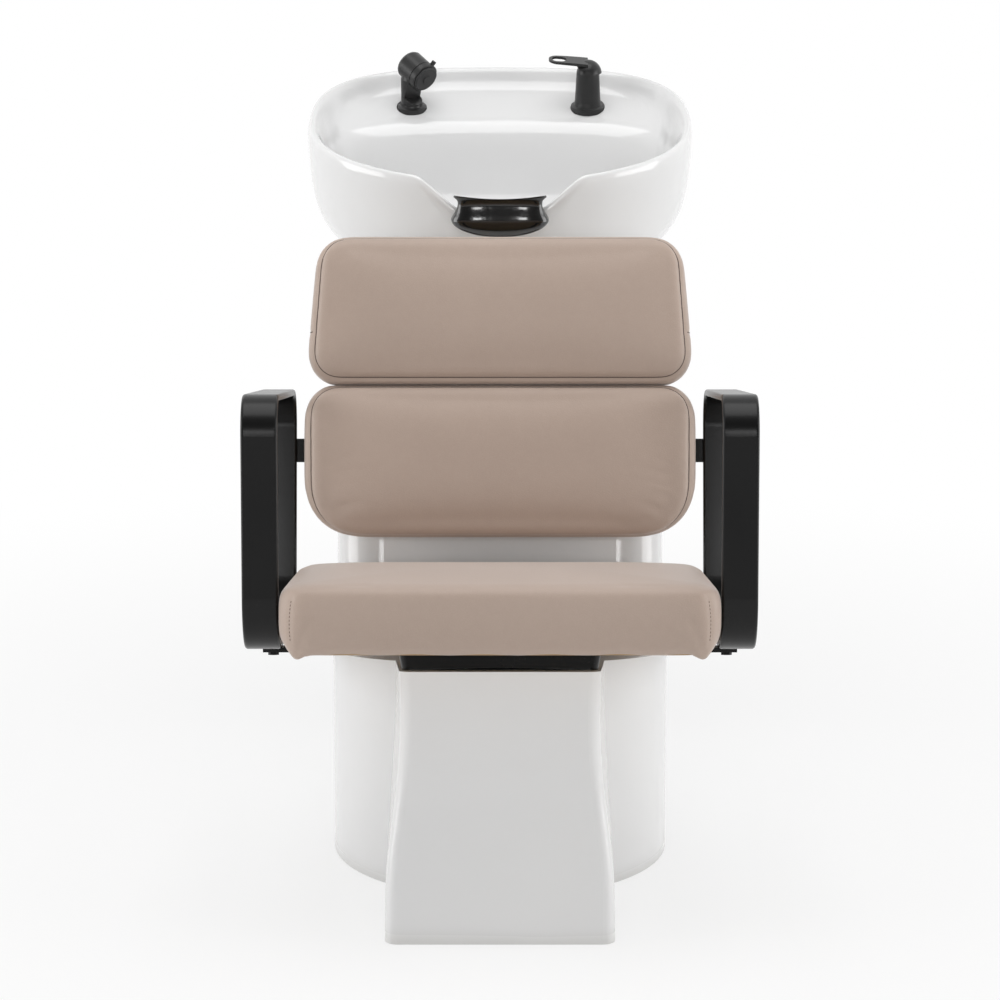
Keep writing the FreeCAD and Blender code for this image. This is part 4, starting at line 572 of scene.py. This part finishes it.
def held_back(name, points):
    """True for the points that lie on a board: the back of a back pad, the underside of the seat."""
    if name == "seat_cushion":
        return inside_frame(points, seat_place)[:, 2] < SEAT_BOARD
    return inside_frame(points, back_place)[:, 1] > PAD_BOARD


def give(name, outward):
    """Share of the swelling that a cover allows: all of it, but little on the tight top of the upper pad."""
    tight = 0.85 if name == "upper_back_cushion" else 0
    return 1 - tight * np.clip(outward @ back_place[1][2], 0, 1)


def foam(name, points, outward, gap):
    """How far the foam pushes the skin out: on the seat at its sides, as half a sine over the height;
    on a back pad all round, less near its seam and fading towards the board."""
    if name == "seat_cushion":
        up = inside_frame(points, seat_place)[:, 2]
        return SEAT_FULLNESS * np.abs(outward[:, 0]) * np.sin(np.pi * np.clip(up / SEAT_THICK, 0, 1))
    depth = inside_frame(points, back_place)[:, 1]
    near = 0.4 + 0.6 * np.clip(gap / 0.014, 0, 1)
    return PAD_FULLNESS * near * np.clip((PAD_THICK - depth) / 0.012, 0, 1) * give(name, outward)


print("fullness in mm:", 1000 * SEAT_FULLNESS, 1000 * PAD_FULLNESS)

# %% [markdown]
# The cloth solver needs to know what holds the cover: a vertex group whose weight is 1 on the
# board and falls off beside a seam. The seat's darts hold only a little, because they are sewn
# into the skin and not to anything under it. A few frames with pressure are enough, since only
# the outward part of the motion is kept, and that part levels off at a limit.

# %% Lace the covers
FRAMES = 20


def lace(name, piece):
    """Lets the foam push the skin out, then sets up a cloth with pressure inside, held at seams and board."""
    is_seat = name == "seat_cushion"
    points = points_of(piece.data)
    gap = gap_to(points, np.concatenate(seams[name] if is_seat else seams[name][:1]))
    board = held_back(name, points)
    outward = outward_of(piece.data)
    points += outward * foam(name, points, outward, gap)[:, None]
    place_points(piece.data, points)
    hold = np.maximum(board, np.clip(1.4 - gap / 0.007, 0, 1) * (0.3 if is_seat else 1))
    held = piece.vertex_groups.new(name="held")
    for level in np.linspace(0.1, 1, 10):
        held.add(np.flatnonzero(np.abs(hold - level) <= 0.05).tolist(), level, "REPLACE")
    cloth = piece.modifiers.new("cover", "CLOTH")
    cloth.settings.vertex_group_mass = "held"
    cloth.settings.quality = 6
    cloth.settings.tension_stiffness = 12
    cloth.settings.compression_stiffness = 12
    cloth.settings.shear_stiffness = 4
    cloth.settings.bending_stiffness = 0.5
    cloth.settings.use_pressure = True
    cloth.settings.uniform_pressure_force = 4 if is_seat else 30
    cloth.settings.effector_weights.gravity = 0
    cloth.collision_settings.use_collision = False
    cloth.point_cache.frame_start = 1
    cloth.point_cache.frame_end = FRAMES
    return points, outward_of(piece.data)


eased = {name: lace(name, piece) for name, piece in covers.items()}
print("laced:", ", ".join(eased))

# %% Blow the covers up
SEAT_LIMIT, PAD_LIMIT = 0.002, 0.007
HALF_ROOM = 0.2763

for count in range(1, FRAMES + 1):
    scene.frame_set(count)


def blown(name, piece):
    """The swollen skin: points move outwards only, levelling off at a limit, and not into neighbours."""
    most = SEAT_LIMIT if name == "seat_cushion" else PAD_LIMIT
    points = points_of(settle(piece))
    piece.vertex_groups.clear()
    start, outward = eased[name]
    move = ((points - start) * outward).sum(axis=1).clip(0) * give(name, outward)
    points = start + outward * (most * np.tanh(move / most))[:, None]
    place = seat_place if name == "seat_cushion" else back_place
    inside = inside_frame(points, place)
    if name == "seat_cushion":
        inside[:, 0] = inside[:, 0].clip(-HALF_ROOM, HALF_ROOM)
    elif name == "lower_back_cushion":
        inside[:, 2] = inside[:, 2].clip(None, PADS_MEET + 0.0006)
    else:
        inside[:, 2] = inside[:, 2].clip(PADS_MEET + 0.0009, None)
    place_points(piece.data, inside @ place[1] + place[0])
    return move.max()


swell = {name: blown(name, piece) for name, piece in covers.items()}
scene.frame_set(1)
print("furthest move before the limit, in mm:", {name: round(1000 * move, 1) for name, move in swell.items()})

# %% [markdown]
# ### Sewing
# A seam pulls the cover down into a narrow valley with the fold of the two panels at its bottom.
# The valley is pressed into the skin after it has been divided finely enough to take it. The
# fold itself is a thin round profile carried along the seam, and the stitches are short threads
# that dive into the cover at both ends.

# %% Press the seams in
def finely(piece):
    """Evens out the grid's steps and divides the skin once."""
    even = piece.modifiers.new("even", "SMOOTH")
    even.factor = 0.5
    even.iterations = 3
    divide = piece.modifiers.new("divide", "SUBSURF")
    divide.levels = 1
    divide.render_levels = 1
    mesh = settle(piece)
    mesh.shade_smooth()


def press(piece, lines, depth, reach):
    """Pushes the skin in along the lines: depth times a bell curve of the distance over reach."""
    points = points_of(piece.data)
    gap = gap_to(points, np.concatenate(lines))
    place_points(piece.data, points - outward_of(piece.data) * (depth * np.exp(-(gap / reach) ** 2))[:, None])


def onto(piece, line):
    """The line laid on the skin, and the skin's outward direction along it."""
    tree = BVHTree.FromObject(piece, bpy.context.evaluated_depsgraph_get())
    found = [tree.find_nearest(point) for point in line]
    spots = np.array([spot for spot, outward, face, far in found])
    outward = np.array([outward for spot, outward, face, far in found])
    return spots, outward


DEEP_SEAM, SHALLOW_SEAM = 0.0026, 0.0008
SEAM_REACH = 0.0042
for name, piece in covers.items():
    finely(piece)
    for count, line in enumerate(seams[name]):
        depth = DEEP_SEAM if count == 0 and name != "seat_cushion" else SHALLOW_SEAM
        press(piece, [onto(piece, line)[0]], depth, SEAM_REACH)
print("cover corners:", {name: len(piece.data.vertices) for name, piece in covers.items()})

# %% [markdown]
# The seat cover is pulled down over the board's edge and stapled under it. That leaves a faint
# wave along the lower front edge, and at each corner a little pulled tip with two creases.

# %% Pull the seat's lower edge
TIP_DROP, TIP_REACH = 0.0085, 0.012
WAVE_DROP = 0.0009
CREASE_REACH = 0.006


def pull_edge(piece):
    """Lowers the lower edge: a tip at each corner plus a shallow wave, fading upwards."""
    inside = inside_frame(points_of(piece.data), seat_place)
    across, along, up = inside.T
    from_corner = np.hypot(np.abs(across) - 0.256, np.abs(along - 0.202) - 0.222)
    tip = TIP_DROP * np.exp(-(from_corner / TIP_REACH) ** 2)
    wave = WAVE_DROP * np.sin(across / 0.0135) * (np.abs(across) < 0.24) * (along < 0)
    inside[:, 2] -= (tip + wave) * np.exp(-(np.clip(up, 0, None) / 0.022) ** 2)
    place_points(piece.data, inside @ seat_place[1] + seat_place[0])


def pull_line(side, end, inward, rise):
    """A crease from a corner's tip up over the front or the rear, a straight run in the skin."""
    share = np.linspace(0, 1, 24)
    along = np.full_like(share, -0.037 if end < 0 else 0.441)
    inside = np.stack([side * (0.258 - inward * share), along, rise * share], axis=1)
    return inside @ seat_place[1] + seat_place[0]


seat_cover = covers["seat_cushion"]
pull_edge(seat_cover)
for inward, rise, depth in ((0.022, 0.042, 0.0016), (0.05, 0.03, 0.001)):
    lines = [onto(seat_cover, pull_line(side, end, inward, rise))[0] for side in (-1, 1) for end in (-1, 1)]
    press(seat_cover, lines, depth, CREASE_REACH)
print("seat box:", points_of(seat_cover.data).min(axis=0).round(3))

# %% Sweep folds and stitches
def skin_of(name, rings, loop):
    """A mesh from rings[item, along, round]: neighbours joined, ends closed by a face or looped."""
    items, along, around = rings.shape[:3]
    index = np.arange(items * along * around).reshape(items, along, around)
    ahead = np.roll(index, -1, axis=1)
    beside = np.roll(index, -1, axis=2)
    corner = np.roll(ahead, -1, axis=2)
    quads = np.stack([index, beside, corner, ahead], axis=-1)
    faces = (quads if loop else quads[:, :-1]).reshape(-1, 4).tolist()
    if not loop:
        faces += index[:, 0, ::-1].tolist() + index[:, -1].tolist()
    mesh = bpy.data.meshes.new(name)
    mesh.from_pydata(rings.reshape(-1, 3).tolist(), [], faces)
    mesh.shade_smooth()
    piece = bpy.data.objects.new(name, mesh)
    scene.collection.objects.link(piece)
    return piece


def ring_about(centres, ahead, outward, radius, around):
    """A circle of points square to the path at each of its centres."""
    aside = np.cross(ahead, outward)
    aside /= np.linalg.norm(aside, axis=-1, keepdims=True)
    turn = np.linspace(0, 2 * np.pi, around, endpoint=False)
    round_about = np.cos(turn)[:, None] * aside[..., None, :] + np.sin(turn)[:, None] * outward[..., None, :]
    return centres[..., None, :] + radius[..., None, None] * round_about


def soften(line, loop):
    """Each point takes half of itself and a quarter of each neighbour."""
    before, after = (line[-1:], line[:1]) if loop else (line[:1], line[-1:])
    padded = np.concatenate([before, line, after])
    return 0.5 * line + 0.25 * padded[:-2] + 0.25 * padded[2:]


FOLD_RADIUS = 0.0009
THREAD_RADIUS = 0.0004


def fold(name, piece, line, loop):
    """The folded edge in the bottom of a seam: a round profile carried along it."""
    spots, outward = onto(piece, line[:-1] if loop else line)
    for again in range(8):
        spots, outward = soften(spots, loop), soften(outward, loop)
    outward /= np.linalg.norm(outward, axis=1, keepdims=True)
    ahead = np.roll(spots, -1, 0) - np.roll(spots, 1, 0) if loop else np.gradient(spots, axis=0)
    rings = ring_about(spots - 0.0001 * outward, ahead, outward, np.full(len(spots), FOLD_RADIUS), 8)
    return skin_of(name, rings[None], loop)


def stitches(name, piece, line, pitch):
    """Threads, one each pitch along the line, that rise in the middle as half a sine."""
    length = np.append(0, np.cumsum(np.linalg.norm(np.diff(line, axis=0), axis=1)))
    starts = np.arange(pitch, length[-1] - pitch, pitch)
    share = np.linspace(0, 1, 6)
    where = starts[:, None] + 0.7 * pitch * share
    spots, outward = onto(piece, line)
    for again in range(3):
        spots, outward = soften(spots, False), soften(outward, False)
    on_line = np.stack([np.interp(where, length, spots[:, axis]) for axis in range(3)], axis=-1)
    up = np.stack([np.interp(where, length, outward[:, axis]) for axis in range(3)], axis=-1)
    up /= np.linalg.norm(up, axis=-1, keepdims=True)
    rise = 0.0007 * np.sin(np.pi * share) - 0.0003
    radius = np.broadcast_to(THREAD_RADIUS * np.sqrt(np.sin(np.pi * share).clip(0.15, 1)), where.shape)
    rings = ring_about(on_line + rise[:, None] * up, np.gradient(on_line, axis=1), up, radius, 6)
    return skin_of(name, rings, False)


print("profiles in mm:", 1000 * FOLD_RADIUS, 1000 * THREAD_RADIUS)

# %% [markdown]
# ### Thread and painted seam shade
# The fold and the stitches share one finish, far darker than the leatherette. On the fold that dark is
# painted shade of the seam's valley; on the stitches it is the thread's own colour, darkened by the same
# painted shade. Fine stripes stand for the twist of the yarn.

# %% Mix the thread and the painted seam shade
thread_and_seam_shade_paint = Paint(bpy.data.materials.new("thread_and_painted_seam_shade"))
thread_and_seam_shade_shader = thread_and_seam_shade_paint.tree.nodes["Principled BSDF"]
thread_and_seam_shade_shader.inputs["Specular IOR Level"].default_value = 0.25
place = thread_and_seam_shade_paint.node("TexCoord", {}, {}, "Object")
twist = thread_and_seam_shade_paint.node("TexWave", {}, {"Vector": place, "Scale": 900, "Distortion": 2})
fuzz = thread_and_seam_shade_paint.noise(place, 40, 3)
cover(thread_and_seam_shade_paint, thread_and_seam_shade_shader, {
    # Painted shade: both tones are far darker than the leatherette and stand for the shade in the seam's
    # valley
    "Base Color": thread_and_seam_shade_paint.mix((0.115, 0.09, 0.076, 1), (0.17, 0.134, 0.114, 1),
                                   0.5 * twist + 0.5 * fuzz),
    "Roughness": 0.7 + 0.15 * fuzz,
    "Normal": thread_and_seam_shade_paint.bump(twist, 0.3, 0.0002),
})

# %% Sew the pads
def belongs(piece, material):
    """Gives a finished piece its finish and its body."""
    piece.data.materials.clear()
    piece.data.materials.append(material)
    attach(piece, "stand")


STITCH = 0.005
sewn = []
for name, piece in covers.items():
    for count, line in enumerate(seams[name]):
        tag = "%s_seam_%d" % (name.replace("_cushion", ""), count + 1)
        if name == "seat_cushion":
            sewn.append(stitches(tag, piece, line, STITCH))
        else:
            sewn.append(fold(tag, piece, line, count == 0))
# The folds and stitches take the finish whose dark colour is painted seam shade
for piece in sewn:
    belongs(piece, thread_and_seam_shade_paint.owner)
for name, piece in covers.items():
    belongs(piece, finishes["leatherette"])
    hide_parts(name)
print("sewn:", ", ".join(piece.name for piece in sewn))
